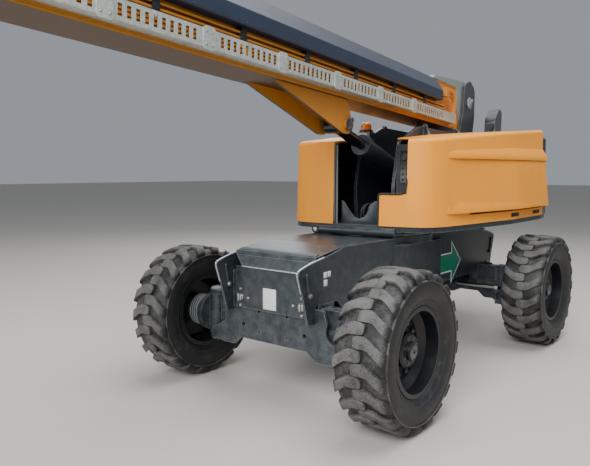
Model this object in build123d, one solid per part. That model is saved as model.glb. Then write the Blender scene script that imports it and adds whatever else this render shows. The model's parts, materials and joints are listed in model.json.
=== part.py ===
from build123d import *
from math import atan2, cos, degrees, radians, sin, sqrt
import os

# Lengths are in millimetres. x runs forward, y to the left and z up from the ground under the
# slewing axis; the upper structure is drawn straight ahead and turned by slew_at_rest.

# Running gear
wheelbase = 2750
track = 1985
tyre_radius = 536
tyre_facets = 30
lugs_in_row = 20
rim_radius = 285
rim_width = 304
kingpin_spread = 1430
steer_arm = (-200, -60)

# Chassis
frame_half_width = 400
end_overhang = 319
frame_top = 1145
frame_bottom = 660
axle_arch = 97
plate = 15
bearing_radius = 450
bearing_inner = 365
bearing_height = 45

# Turret
slew_at_rest = 5.5
deck_bottom = 1200
deck_thickness = 45
hood_skin = 22
hood_hinge_z = 2130
hood_hinge_x = (-1350, -500)
well_half_width = 215
web_inner = 172
web_thickness = 28
web_outer = web_inner + web_thickness
pivot_x = -1800
pivot_z = 2450

# Boom
boom_raise_at_rest = 2.4
boom_half_width = 160
boom_height = 440
boom_wall = 10
pivot_above_boom_floor = 312
boom_rear = -200
boom_front = 6820
fly_gap = 10
fly_wall = 8
fly_step = 240

# Lift cylinder
lift_foot = (-1200, 1450)
lift_eye = (860, 2060)
lift_barrel_radius = 82
lift_rod_radius = 48
lift_barrel_length = 1640

# Jib and platform
jib_length = 1700
jib_spacing = 220
jib_drop_at_rest = 40
platform_width = 2300
platform_depth = 900
rail_height = 1100
rail_radius = 19

# Clearances
running = 0.05
moving = 6
seat = 0.3


def block(x0, x1, y0, y1, z0, z1):
    return Pos((x0 + x1) / 2, (y0 + y1) / 2, (z0 + z1) / 2) * Box(x1 - x0, y1 - y0, z1 - z0)


def outline_of(points, radii):
    return FilletPolyline(*points, radius=radii, close=True) if radii else Polyline(*points, close=True)


def side_slab(points, y0, y1, radii=None):
    outline = outline_of([(x, y0, z) for x, z in points], radii)
    return extrude(make_face(outline), amount=y1 - y0, dir=(0, 1, 0))


def floor_slab(points, z0, z1, radii=None):
    outline = outline_of([(x, y, z0) for x, y in points], radii)
    return extrude(make_face(outline), amount=z1 - z0, dir=(0, 0, 1))


def end_slab(points, x0, x1, radii=None):
    outline = outline_of([(x0, y, z) for y, z in points], radii)
    return extrude(make_face(outline), amount=x1 - x0, dir=(1, 0, 0))


def rod(start, end, radius):
    start, end = Vector(*start), Vector(*end)
    span = end - start
    place = Plane(origin=start, z_dir=span)
    return place * Cylinder(radius, span.length, align=(Align.CENTER, Align.CENTER, Align.MIN))


def cross_pin(centre, half, radius):
    return rod((centre[0], -half, centre[1]), (centre[0], half, centre[1]), radius)


def turned(profile):
    outline = Polyline(*[(radius, y, 0) for radius, y in profile], close=True)
    return revolve(make_face(outline), axis=Axis.Y)


def both_sides(shape):
    return shape + mirror(shape, Plane.XZ)


def both_ends(shape):
    return shape + Rot(0, 0, 180) * shape


def bent_tube(points, bend, radius):
    path = FilletPolyline(*points, radius=bend)
    return sweep(Plane(origin=path @ 0, z_dir=path % 0) * Circle(radius), path=path)


nodes = {}

# Tyres and rims, drawn about the y axis with the outer side towards +y: the carcass is a ring of
# flat-sided wedges, and two rows of slanted lugs stand on it in a V that points up at the front
carcass = [(rim_radius + 0.2, 140), (402, 190), (500, 160)]
carcass += [(radius, -y) for radius, y in reversed(carcass)]
facet = 360 / tyre_facets
to_corner = 1 / cos(radians(facet / 2))
lug_lead = 48
lug_top = sqrt(tyre_radius ** 2 - lug_lead ** 2)
lug_foot = [(-lug_lead, -14), (12, -14), (58, 200), (-10, 200)]
lug_section = [(-14, 480), (-14, lug_top), (150, lug_top), (192, 468), (170, 452)]


def carcass_face(angle):
    return Rot(0, angle, 0) * make_face(
        Polyline(*[(radius * to_corner, y, 0) for radius, y in carcass], close=True))


wedge = loft([carcass_face(-facet / 2), carcass_face(facet / 2)], ruled=True)
lug = floor_slab(lug_foot, 440, 560) & end_slab(lug_section, -100, 100)
far_lug = mirror(lug, Plane.XZ)
lug_pitch = 360 / lugs_in_row
ring = [Rot(0, facet * index, 0) * wedge for index in range(tyre_facets)]
for index in range(lugs_in_row):
    ring.append(Rot(0, lug_pitch * index, 0) * lug)
    ring.append(Rot(0, lug_pitch * (index + 0.5), 0) * far_lug)
# turned so that the leading corner of one lug stands on the ground
tyre = Rot(0, degrees(atan2(lug_lead, lug_top)), 0) * ring[0].fuse(*ring[1:])

hub_radius = 118
hub_inner = -30
hub_face = 84
spindle_radius = 50
spindle_reach = 42
disc_back, disc_face = -8, 10
flange = 13
flange_root, flange_tip = 140.6, 146.2
rim_half = rim_width / 2
well = rim_radius - 14
rim = turned([
    (hub_radius - 1, disc_back), (well - 44, disc_back), (well, disc_back + 34), (well, -rim_half),
    (rim_radius + flange, -rim_half), (rim_radius + flange, -flange_tip), (rim_radius, -flange_root),
    (rim_radius, flange_root), (rim_radius + flange, flange_tip), (rim_radius + flange, rim_half),
    (well, rim_half), (well, disc_face + 44), (well - 44, disc_face), (hub_radius - 1, disc_face),
])
hub = turned([
    (spindle_radius + running, hub_inner), (hub_radius, hub_inner), (hub_radius, hub_face - 12),
    (hub_radius - 16, hub_face), (66, hub_face), (60, hub_face + 22), (0, hub_face + 22),
    (0, spindle_reach + 3), (spindle_radius + running, spindle_reach + 3),
])
wheel_bolts = 10
wheel_bolt_circle = 168
for index in range(wheel_bolts):
    angle = radians(360 / wheel_bolts * index)
    x, z = wheel_bolt_circle * cos(angle), wheel_bolt_circle * sin(angle)
    rim += rod((x, disc_face - 2, z), (x, disc_face + 20, z), 13)
rim += hub

# Steering knuckle about its kingpin, wheel on the +y side
wheel_offset = (track - kingpin_spread) / 2
knuckle_half = 160
drum_end = wheel_offset + hub_inner - moving
pin_radius = 30
knuckle = rod((0, 0, -knuckle_half), (0, 0, knuckle_half), 70)
knuckle += rod((0, 0, -knuckle_half - 40), (0, 0, knuckle_half + 40), pin_radius)
knuckle += rod((0, 45, 0), (0, 90, 0), 150)
knuckle += rod((0, 60, 0), (0, drum_end, 0), 122)
knuckle += rod((0, drum_end - 5, 0), (0, wheel_offset + spindle_reach, 0), spindle_radius)
arm_x, arm_y = steer_arm
eye_radius = 32
arm_depth = (-50, -24)
knuckle += floor_slab([
    (-20, 60), (-60, 40), (arm_x - 10, arm_y + eye_radius), (arm_x - eye_radius, arm_y),
    (arm_x - 10, arm_y - eye_radius), (-40, -45), (20, -30),
], *arm_depth)

# Axle beam with its differential, yokes, saddles and steering cylinder
yoke_gap = knuckle_half + moving
yoke_thickness = 34
kingpin_y = kingpin_spread / 2
yoke_inner, yoke_outer = kingpin_y - 135, kingpin_y - 87
beam_end = yoke_inner + 15
steer_barrel_radius = 38
axle = turned([
    (0, -beam_end), (75, -beam_end), (86, -250), (86, 250), (75, beam_end), (0, beam_end),
])
axle += Pos(-25, 0, 0) * turned([
    (0, -210), (84, -210), (128, -110), (128, 110), (84, 210), (0, 210),
])
axle += rod((-60, 0, 92), (-212, 0, 92), 50)
axle += rod((arm_x, -230, 0), (arm_x, 230, 0), steer_barrel_radius)
yoke = block(-45, 45, yoke_inner, yoke_outer, -yoke_gap - yoke_thickness, yoke_gap + yoke_thickness)
for level in (yoke_gap, -yoke_gap - yoke_thickness):
    ear = block(-62, 62, yoke_inner, kingpin_y, level, level + yoke_thickness)
    ear += rod((0, kingpin_y, level), (0, kingpin_y, level + yoke_thickness), 62)
    ear -= rod((0, kingpin_y, level - 1), (0, kingpin_y, level + yoke_thickness + 1),
               pin_radius + running)
    yoke += ear
saddle_top = frame_bottom + axle_arch - tyre_radius
yoke += block(-90, 90, 310, frame_half_width, -30, saddle_top)
yoke += end_slab([
    (300, -70), (300, saddle_top - 30), (yoke_inner + 5, saddle_top - 30), (yoke_inner + 5, -yoke_gap),
    (430, -86),
], -60, 60)
yoke += block(arm_x, -40, 150, 190, -26, 26)
axle += both_sides(yoke)
steer_bore = 18 + running
axle -= rod((arm_x, -240, 0), (arm_x, 240, 0), steer_bore)

# Steering rod through that cylinder, with an eye over each knuckle arm
steer_rod = rod((arm_x, -kingpin_y - arm_y, 0), (arm_x, kingpin_y + arm_y, 0), 18)
for side in (-1, 1):
    y = side * (kingpin_y + arm_y)
    steer_rod += rod((arm_x, y, -16), (arm_x, y, 16), eye_radius)

axle_x = wheelbase / 2
nodes["axles"] = both_ends(Pos(axle_x, 0, tyre_radius) * axle)
for axle_name, turn in (("front", 0), ("rear", 180)):
    centre = Rot(0, 0, turn) * Pos(axle_x, 0, tyre_radius)
    nodes[axle_name + "_steering_rod"] = centre * steer_rod
    for side_name, flip in (("left", False), ("right", True)):
        near = Pos(0, kingpin_y, 0) * knuckle
        tyre_placed = Pos(0, track / 2, 0) * (mirror(tyre, Plane.YZ) if turn else tyre)
        rim_placed = Pos(0, track / 2, 0) * rim
        if flip != (turn == 180):
            near, tyre_placed, rim_placed = [
                mirror(shape, Plane.XZ) for shape in (near, tyre_placed, rim_placed)]
        name = axle_name + "_" + side_name
        nodes[name + "_knuckle"] = centre * near
        nodes[name + "_tyre"] = centre * tyre_placed
        nodes[name + "_rim"] = centre * rim_placed

# Chassis frame: two side plates whose ends stand out as ears beside a closed bay
end_x = axle_x + end_overhang
deck_end = axle_x - 225
bay_x = axle_x + 130
panel_x = bay_x + 2 * plate
panel_top = frame_top - 165
panel_half = 340
arch_z = frame_bottom + axle_arch
toe_z = frame_bottom - 30
inner = frame_half_width - plate
half_outline = [
    (deck_end, frame_top, 0), (axle_x - 75, frame_top - 37, 0), (axle_x + 185, frame_top - 83, 200),
    (end_x + 11, frame_top - 123, 45), (end_x - 50, frame_bottom + 170, 150),
    (end_x - 104, toe_z, 12), (bay_x, toe_z, 6), (bay_x, arch_z, 20), (axle_x - 91, arch_z, 0),
    (axle_x - 145, arch_z, 60), (deck_end, frame_bottom, 0),
]
outline = half_outline + [(-x, z, radius) for x, z, radius in reversed(half_outline)]
frame = side_slab([(x, z) for x, z, radius in outline], inner, frame_half_width,
                  [radius for x, z, radius in outline])
bolt_x, bolt_z = end_x - 114, frame_bottom + 180
frame += rod((bolt_x, inner - 14, bolt_z), (bolt_x, frame_half_width + 14, bolt_z), 13)
for y in (inner - 6, frame_half_width + 6):
    frame += rod((bolt_x, y, bolt_z), (bolt_x + 27, y, bolt_z + 155), 7)
frame += mirror(frame, Plane.YZ)
frame = both_sides(frame)
frame += block(-deck_end, deck_end, -inner, inner, frame_top - plate, frame_top)
frame += block(-deck_end, deck_end, -inner, inner, frame_bottom, frame_bottom + plate)
frame += Pos(0, 0, frame_top - 30) * Cylinder(bearing_radius + 20, 60)
for side in (-1, 1):
    wing = floor_slab([(-430, 0), (430, 0), (300, side * 60), (-300, side * 60)],
                      frame_bottom + 60, frame_top - 58)
    frame += Pos(0, side * frame_half_width, 0) * wing
end_wall = block(bay_x, bay_x + plate, -inner, inner, frame_bottom, panel_top - 40)
end_wall += block(bay_x + plate, panel_x, -panel_half, panel_half, frame_bottom + 3, panel_top)
latch_y, latch_z = 300, frame_bottom + 82
for side in (-1, 1):
    end_wall += rod((panel_x - 1, side * latch_y, latch_z), (panel_x + 14, side * latch_y, latch_z), 17)
    end_wall += block(panel_x + 13, panel_x + 25, side * latch_y - 9, side * latch_y + 9,
                      latch_z - 32, latch_z + 32)
frame += both_ends(end_wall)
nodes["chassis_frame"] = frame

# Low end plate with two lobes, one behind each bay's wall
lobe_z = frame_bottom - 307
bumper_half = [
    (325, lobe_z + 63, 40), (396, lobe_z, 30), (525, lobe_z, 80), (645, lobe_z + 31, 12),
    (648, lobe_z + 92, 20), (476, frame_bottom - 128, 70), (497, frame_bottom - 20, 60),
    (470, arch_z - 24, 10),
]
bumper_outline = bumper_half + [(-y, z, radius) for y, z, radius in reversed(bumper_half)]
plate_back = bay_x - 20
bumper = end_slab([(y, z) for y, z, radius in bumper_outline], plate_back, bay_x,
                  [radius for y, z, radius in bumper_outline])
tie_hole_radius = 20
tie_hole_y, tie_hole_z = 300, frame_bottom - 135
for y, z, radius in ((tie_hole_y, tie_hole_z, tie_hole_radius), (137, tie_hole_z - 42, 11),
                     (137, frame_bottom - 17, 13)):
    for side in (-1, 1):
        bumper -= rod((plate_back - 1, side * y, z), (bay_x + 1, side * y, z), radius)
nodes["end_plates"] = both_ends(bumper)

# Folded covers over both bays, each with a flange that narrows down to the panel
cover_sheet = 6
cover_half = inner - seat
fold_x, fold_z = axle_x + 105, frame_top - 55
flange_low = (panel_x + 2, panel_top)
flange_half = 270
cover = side_slab([
    (deck_end - 40, frame_top), (deck_end, frame_top), (fold_x, fold_z), flange_low,
    (flange_low[0] + cover_sheet, flange_low[1] + 2), (fold_x + 5, fold_z + 5),
    (deck_end, frame_top + cover_sheet), (deck_end - 40, frame_top + cover_sheet),
], -cover_half, cover_half)
side_cut = end_slab([
    (cover_half + 1, fold_z - 12), (cover_half, fold_z - 12), (flange_half, panel_top + 1),
    (flange_half, panel_top - 1), (cover_half + 1, panel_top - 1),
], fold_x - 20, panel_x + 40)
cover -= both_sides(side_cut)
nodes["end_covers"] = both_ends(cover)

# Slewing ring with a bolted lower flange
ring_seat = frame_top
ring_step = 20
ring = Pos(0, 0, ring_seat) * (
    extrude(Circle(bearing_radius), amount=ring_step)
    + extrude(Circle(bearing_radius - 26), amount=bearing_height)
    - extrude(Circle(bearing_inner), amount=bearing_height))
ring_bolts = 24
for index in range(ring_bolts):
    ring += Rot(0, 0, 360 / ring_bolts * index) * Pos(bearing_radius - 13, 0, ring_seat + ring_step) * (
        extrude(RegularPolygon(9, 6), amount=10))
nodes["slewing_ring"] = ring

# Turret deck, drawn straight ahead; hoods, deck and counterweight share one plan
turret_half = [(500, well_half_width), (485, 470), (455, 585), (385, 665), (255, 726), (-832, 962),
               (-1700, 1042), (-1960, 1017), (-2150, 927), (-2290, 700), (-2335, 330)]
turret_plan = turret_half + [(x, -y) for x, y in reversed(turret_half)]
deck_inset = 12
deck_top = deck_bottom + deck_thickness


def plan_face(points, z, inset):
    face = make_face(Polyline(*[(x, y, 0) for x, y in points], close=True))
    return Pos(0, 0, z) * (offset(face, -inset, kind=Kind.INTERSECTION) if inset else face)


deck = extrude(plan_face(turret_plan, deck_bottom, deck_inset), amount=deck_thickness)
deck += Pos(0, 0, (ring_seat + 5 + deck_bottom) / 2) * Cylinder(
    bearing_inner - running, deck_bottom - ring_seat - 5)
well_hole = (250, 150)
deck -= Pos(well_hole[0], 0, deck_bottom) * Cylinder(well_hole[1], 150)
tube_x, tube_z, tube_radius = 500, 1193, 36
deck += rod((tube_x, -380, tube_z), (tube_x, 380, tube_z), tube_radius)

web_outline = [
    (120, deck_top, 0), (150, 1560, 200), (40, 1960, 120), (-380, 2120, 300), (-1480, 2090, 120),
    (-1600, 2330, 150), (-1640, 2640, 60), (-1810, 2705, 90), (-1985, 2620, 90), (-1985, 2300, 200),
    (-1900, 1990, 60), (-1715, 1860, 40), (-1715, deck_top, 0),
]
web = side_slab([(x, z) for x, z, radius in web_outline], web_inner, web_outer,
                [radius for x, z, radius in web_outline])
pivot_pin_radius = 45
web -= rod((pivot_x, web_inner - 1, pivot_z), (pivot_x, web_outer + 1, pivot_z),
           pivot_pin_radius + running)
webs = both_sides(web)
webs += block(-1715, -1690, -web_inner, web_inner, deck_top, 1860)
foot_x, foot_z = lift_foot
foot_pin_radius = 40
webs += both_sides(rod((foot_x, 60 + moving, foot_z), (foot_x, web_inner, foot_z), 75))
webs += rod((foot_x, -web_inner, foot_z), (foot_x, web_inner, foot_z), foot_pin_radius)

beacon_x, beacon_y, beacon_z = -150, -236, 2064
webs += block(beacon_x - 55, beacon_x + 55, beacon_y - 60, -web_inner, beacon_z - 8, beacon_z)
webs += block(beacon_x - 55, beacon_x + 55, -web_outer, -web_inner, beacon_z - 60,
              beacon_z)
hinge_pin_radius, hinge_eye_radius = 8, 13
hinge_eye_half = 9
for hinge_x in hood_hinge_x:
    hinge = rod((hinge_x - 27, well_half_width, hood_hinge_z), (hinge_x + 27, well_half_width, hood_hinge_z),
                hinge_pin_radius)
    for low in (hinge_x - 27, hinge_x + hinge_eye_half + moving):
        hinge += end_slab([
            (web_outer - 1, hood_hinge_z - 90), (web_outer - 1, hood_hinge_z + 6),
            (well_half_width, hood_hinge_z + 8), (well_half_width + 8, hood_hinge_z - 6),
            (web_outer + 8, hood_hinge_z - 40), (web_outer + 8, hood_hinge_z - 90),
        ], low, low + 12)
        hinge += rod((low, well_half_width, hood_hinge_z), (low + 12, well_half_width, hood_hinge_z),
                     hinge_eye_radius)
    webs += both_sides(hinge)
nodes["turret_frame"] = deck + webs

# Counterweight behind the hoods
hood_rear = -1700
wall_lean = 1.5
weight_front = hood_rear - 22
weight_height = 815
weight = extrude(plan_face(turret_plan, deck_top, 0), amount=weight_height, taper=wall_lean)
weight = weight & block(-2400, weight_front, -1200, 1200, deck_top, deck_top + weight_height)
weight_rim = [edge for edge in weight.edges().filter_by(GeomType.LINE)
              if edge.center().Z > deck_top + weight_height - 1 and edge.center().X < weight_front - 1
              and abs(edge.center().Y) > 400]
weight = fillet(weight_rim, 30)
weight -= block(-2400, weight_front + 0.1, -300, 300, 1850, 2100)
horn = side_slab([(-2040, 2000), (-2055, 2290), (-2190, 2410), (-2310, 2395), (-2300, 2000)], 300, 420,
                 [0, 120, 60, 50, 0])
weight += both_sides(horn)
nodes["counterweight"] = weight

# Engine, as one block where it sits under the right hood
nodes["engine_block"] = block(-1250, -450, -760, -300, deck_top, 1800)

# Control recess at the front of the left hood
recess_x = 130
recess_half = (well_half_width + 4, 455)
recess = block(recess_x, recess_x + 12, recess_half[0], recess_half[1], 1505, 1930)
recess += block(recess_x, 430, recess_half[0], recess_half[1], 1493, 1505)
recess += block(recess_x, recess_x + 40, recess_half[0], recess_half[0] + 12, deck_top, 1505)
nodes["control_recess"] = recess

# Beacon on its plate beside the right web
dome = fillet((Pos(0, 0, 55) * Cylinder(50, 72)).edges().sort_by(Axis.Z)[-1], 34)
beacon = Pos(beacon_x, beacon_y, beacon_z) * (Pos(0, 0, 10) * Cylinder(62, 20) + dome)
nodes["beacon"] = beacon

# Hoods: hollow covers with leaning walls and a raised belt, open towards the deck and the boom well
belt_plan = [(262, 640), (225, 742), (-830, 1010), (-1700, 1100), (-1700, 700)]
belt_low, belt_high, belt_lean = 1345, 1800, 34
front_top, front_mid, rear_top = 1962, 2050, 2128
roof_bend_x = -600
roof_round = 35


def hood_solid(inset, drop):
    low = deck_top + seat
    body = extrude(plan_face(turret_plan, low, inset), amount=1000, taper=wall_lean)
    body += loft([plan_face(belt_plan, belt_low + drop, inset),
                  plan_face(belt_plan, belt_high - drop, inset + belt_lean)], ruled=True)
    body = body & block(hood_rear + inset, 700, well_half_width, 1400, low, 2400)
    roof = side_slab([(700, front_top - 30), (380, front_top), (roof_bend_x, front_mid),
                      (hood_rear - 60, rear_top), (hood_rear - 60, rear_top + 400),
                      (700, rear_top + 400)], 0, 1400)
    return body - Pos(0, 0, -drop) * roof


def roof_edges(shape):
    chosen = []
    for edge in shape.edges():
        middle, way = edge.center(), edge.tangent_at(0.5)
        outside = middle.Z > front_top - 7 and middle.Y > well_half_width + 5
        rear = abs(way.Y) > 0.9 and middle.X < 0
        if outside and edge.length > 60 and abs(way.Z) < 0.5 and not rear:
            chosen.append(edge)
    return chosen


hood = hood_solid(0, 0)
hood = fillet(roof_edges(hood), roof_round)
hollow = hood_solid(hood_skin, hood_skin)
hollow = hollow + Pos(0, -40, 0) * hollow + Pos(0, 0, -40) * hollow + Pos(0, -40, -40) * hollow
hood -= hollow
for hinge_x in hood_hinge_x:
    roof_z = rear_top + (front_mid - rear_top) * (hinge_x - hood_rear + 60) / (roof_bend_x - hood_rear + 60)
    eye = end_slab([
        (well_half_width, roof_z - 10), (well_half_width - 8, hood_hinge_z - 6),
        (well_half_width + 10, hood_hinge_z + 4), (well_half_width + 50, roof_z + 2),
        (well_half_width + 50, roof_z - 10),
    ], hinge_x - hinge_eye_half, hinge_x + hinge_eye_half)
    eye += rod((hinge_x - hinge_eye_half, well_half_width, hood_hinge_z),
               (hinge_x + hinge_eye_half, well_half_width, hood_hinge_z), hinge_eye_radius)
    hood += eye - rod((hinge_x - 30, well_half_width, hood_hinge_z),
                      (hinge_x + 30, well_half_width, hood_hinge_z), hinge_pin_radius + running)
notch = floor_slab([
    (recess_x - 6, well_half_width - 10), (600, well_half_width - 10), (600, recess_half[1] + 6),
    (recess_x - 6, recess_half[1] + 6),
], 1512, 2000, [0, 0, 0, 40])
left_hood = hood - notch
right_hood = mirror(hood, Plane.XZ)
nodes["left_hood"] = left_hood
nodes["right_hood"] = right_hood

# Boom sections, drawn from the boom's pivot along +x
boom_floor = -pivot_above_boom_floor
boom_top = boom_floor + boom_height


def tube(x0, x1, half_width, z0, z1, wall):
    return block(x0, x1, -half_width, half_width, z0, z1) - block(
        x0 - 1, x1 + 1, -half_width + wall, half_width - wall, z0 + wall, z1 - wall)


boom = tube(boom_rear, boom_front, boom_half_width, boom_floor, boom_top, boom_wall)
boom += rod((0, -web_inner + 2, 0), (0, web_inner - 2, 0), pivot_pin_radius + 25)
boom += rod((0, -web_inner - web_thickness, 0), (0, web_inner + web_thickness, 0), pivot_pin_radius)
boom += block(boom_front - 60, boom_front, -boom_half_width - 12, boom_half_width + 12,
              boom_floor - 12, boom_floor)
boom += block(boom_front - 60, boom_front, boom_half_width, boom_half_width + 12,
              boom_floor, boom_floor + 190)
boom += block(boom_front - 60, boom_front, -boom_half_width - 12, -boom_half_width,
              boom_floor, boom_top)
pad_length = 120
pad_seat = 0.3
pad = fly_gap - pad_seat
boom += tube(boom_front - pad_length, boom_front, boom_half_width - boom_wall, boom_floor + boom_wall,
             boom_top - boom_wall, pad)
raise_angle = radians(boom_raise_at_rest)


def to_boom(point):
    x, z = point[0] - pivot_x, point[1] - pivot_z
    return (x * cos(raise_angle) + z * sin(raise_angle), z * cos(raise_angle) - x * sin(raise_angle))


def from_boom(point):
    x, z = point
    return (pivot_x + x * cos(raise_angle) - z * sin(raise_angle),
            pivot_z + z * cos(raise_angle) + x * sin(raise_angle))


eye_x, eye_z = to_boom(lift_eye)
bracket_inner, bracket_thickness = 98, 24
bracket_outline = [
    (eye_x + 1000, boom_floor, 0), (eye_x + 62, eye_z - 72, 60), (eye_x - 72, eye_z - 72, 68),
    (eye_x - 62, eye_z + 60, 80), (eye_x + 20, boom_floor, 0),
]
bracket = side_slab([(x, z) for x, z, radius in bracket_outline], bracket_inner,
                    bracket_inner + bracket_thickness, [radius for x, z, radius in bracket_outline])
bracket += rod((eye_x, bracket_inner, eye_z), (eye_x, bracket_inner + bracket_thickness + 16, eye_z), 46)
boom += both_sides(bracket)
nodes["boom_base"] = boom

inside = boom_wall + fly_gap
fly_1_rear, fly_1_end = 450, boom_front + fly_step
fly_1 = tube(fly_1_rear, fly_1_end, boom_half_width - inside, boom_floor + inside,
             boom_top - inside, fly_wall)
fly_1 += tube(fly_1_rear, fly_1_rear + pad_length, boom_half_width - inside + pad,
              boom_floor + inside - pad, boom_top - inside + pad, pad + 2)
in_1 = inside + fly_wall
fly_1 += tube(fly_1_end - pad_length, fly_1_end, boom_half_width - in_1, boom_floor + in_1,
              boom_top - in_1, pad)
inside_2 = in_1 + fly_gap
fly_2_end = boom_front + 2 * fly_step
fly_2_half = boom_half_width - inside_2
fly_2_rear = 500
fly_2 = tube(fly_2_rear, fly_2_end, fly_2_half, boom_floor + inside_2, boom_top - inside_2, fly_wall)
fly_2 += tube(fly_2_rear, fly_2_rear + pad_length, fly_2_half + pad, boom_floor + inside_2 - pad,
              boom_top - inside_2 + pad, pad + 2)
tip_pin = (fly_2_end + 130, boom_floor + 200)
tip_pin_radius = 32
cheek_thickness = 22
cheek = side_slab([
    (fly_2_end - 200, boom_floor + inside_2), (fly_2_end + 60, boom_floor + 60),
    (tip_pin[0] + 60, tip_pin[1] - 70), (tip_pin[0] + 75, tip_pin[1]),
    (tip_pin[0] + 50, tip_pin[1] + 60), (fly_2_end, boom_top - inside_2),
    (fly_2_end - 200, boom_top - inside_2),
], fly_2_half - cheek_thickness, fly_2_half)
cheek -= rod((tip_pin[0], 0, tip_pin[1]), (tip_pin[0], 200, tip_pin[1]), tip_pin_radius + running)
fly_2 += both_sides(cheek)
slave_foot = (tip_pin[0] - 560, tip_pin[1] - 80)
slave_pin_radius = 18
fly_2 += rod((slave_foot[0], -fly_2_half, slave_foot[1]), (slave_foot[0], fly_2_half, slave_foot[1]),
             slave_pin_radius)
fly_2 -= block(fly_2_end - 160, fly_2_end + 1, -90, 90, boom_floor + inside_2 - 1,
               boom_floor + inside_2 + fly_wall + 1)
nodes["fly_section_1"] = fly_1
nodes["fly_section_2"] = fly_2

# Cable tray along the left side: a slotted wall with clamp pads, and a plain bracket at its rear end
tray_rear, tray_front = 530, boom_front - 80
slots_rear = 900
tray_bottom, tray_top = boom_floor + 30, boom_floor + 130
tray_outer = 240
tray_sheet = 4
tray_height = tray_top - tray_bottom
slot_pitch, slot_width, slot_height = 55, 28, 58
pad_pitch, pad_first = 690, 1636
pad_wide, pad_high, pad_proud = 96, 124, 8
upright_wide = 40
pad_places = [pad_first + pad_pitch * index for index in range(8)]


def tray_face(width, height, x):
    return Pos(x, (tray_bottom + tray_top) / 2) * Rectangle(width, height)


slot_places = [slots_rear + slot_pitch * (index + 0.5)
               for index in range(int((tray_front - slots_rear) / slot_pitch))]
open_slots = [tray_face(slot_width, slot_height, x) for x in slot_places
              if min(abs(x - place) for place in pad_places) > (pad_wide + slot_width) / 2]
tray_side = tray_face(tray_front - tray_rear, tray_height, (tray_rear + tray_front) / 2) - open_slots
tray_pads = Sketch() + [
    Pos(x, (tray_bottom + tray_top) / 2) * RectangleRounded(pad_wide, pad_high, 26) for x in pad_places]
side_plane = Plane(origin=(0, tray_outer, 0), x_dir=(1, 0, 0), z_dir=(0, -1, 0))
tray = extrude(side_plane * tray_side, amount=tray_sheet)
tray += extrude(side_plane * tray_pads, amount=-pad_proud)
tray += block(tray_rear, tray_front, boom_half_width, tray_outer - tray_sheet, tray_bottom,
              tray_bottom + tray_sheet)
nodes["cable_tray"] = tray

# Pipes on their uprights, and three hoses that lie in the tray and turn up into a manifold behind it
pipes = Part()
pipe_rear = 760
for level in (158, 190):
    pipes += rod((pipe_rear, 186, boom_floor + level), (tray_front, 186, boom_floor + level), 11)
hose_radius = 9
hose_y = tray_outer - tray_sheet - 6 - hose_radius
hose_low, hose_high, hose_step = boom_floor + 46, boom_floor + 345, 24
for place in pad_places:
    low_x = place - (pad_pitch + upright_wide) / 2
    pipes += block(low_x, low_x + upright_wide, boom_half_width, 204, tray_bottom + 8, boom_floor + 222)
    pipes += block(low_x + 8, low_x + upright_wide - 8, 200, hose_y + 11, tray_bottom + 8,
                   hose_low + 2 * hose_step + 11)
manifold_x = 760
for index in range(3):
    low, high = hose_low + hose_step * index, hose_high - hose_step * index
    bend_x = 520 + hose_step * index
    bend = (high - low) / 2 - 12
    pipes += bent_tube([(tray_front, hose_y, low), (bend_x, hose_y, low), (bend_x, hose_y, high),
                        (manifold_x, hose_y, high)], bend, hose_radius)
    pipes += rod((manifold_x - 34, hose_y, high), (manifold_x + 2, hose_y, high), hose_radius + 5)
pipes += block(manifold_x, manifold_x + 62, boom_half_width, hose_y + 18, boom_floor + 278,
               boom_floor + 366)
nodes["side_pipes"] = pipes
chain_rear = 920
chain_section = [(boom_half_width, boom_floor + 222), (240, boom_floor + 222), (240, boom_floor + 318),
                 (165, boom_top - 4), (boom_half_width, boom_top - 4)]
nodes["chain_cover"] = end_slab(chain_section, chain_rear, boom_front - 20, [0, 10, 14, 0, 0])

# Rear housing: a humped cap over the boom's rear end, with a cheek down each side
cheek_plate = web_inner - moving - boom_half_width
hump = side_slab([
    (1010, boom_top), (960, boom_top + 34), (120, boom_top + 98), (boom_rear - 12, boom_top + 76),
    (boom_rear - 12, boom_top),
], -boom_half_width - cheek_plate, boom_half_width + cheek_plate, [0, 60, 500, 60, 0])
housing_side = side_slab([
    (boom_rear - 12, boom_floor + 6), (150, boom_floor + 6), (330, boom_floor + 210),
    (330, boom_top + 2), (boom_rear - 12, boom_top + 2),
], boom_half_width, boom_half_width + cheek_plate, [60, 120, 90, 0, 0])
housing_side -= cross_pin((0, 0), 300, pivot_pin_radius + 36)
nodes["boom_rear_housing"] = hump + both_sides(housing_side)

# Lift cylinder: barrel from the turret, rod to the boom's bracket
lift_span = Vector(lift_eye[0] - foot_x, 0, lift_eye[1] - foot_z)
lift_line = lift_span.normalized()


def along(start, direction, distance):
    return (start[0] + direction.X * distance, 0, start[1] + direction.Z * distance)


lift_barrel = rod(along(lift_foot, lift_line, 20), along(lift_foot, lift_line, 180), 58)
lift_barrel += rod(along(lift_foot, lift_line, 168), along(lift_foot, lift_line, lift_barrel_length),
                  lift_barrel_radius)
lift_barrel += rod(along(lift_foot, lift_line, lift_barrel_length - 70),
                   along(lift_foot, lift_line, lift_barrel_length + 30), lift_barrel_radius + 9)
lift_barrel += rod((foot_x, -60, foot_z), (foot_x, 60, foot_z), 80)
lift_barrel -= rod((foot_x, -61, foot_z), (foot_x, 61, foot_z), foot_pin_radius + running)
lift_barrel -= rod(along(lift_foot, lift_line, 160), along(lift_foot, lift_line, lift_barrel_length + 40),
                   lift_rod_radius + running)
nodes["lift_cylinder_barrel"] = lift_barrel
lift_rod = rod(along(lift_foot, lift_line, 240), lift_eye[:1] + (0,) + lift_eye[1:], lift_rod_radius)
lift_rod += rod((lift_eye[0], -58, lift_eye[1]), (lift_eye[0], 58, lift_eye[1]), 66)
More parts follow.
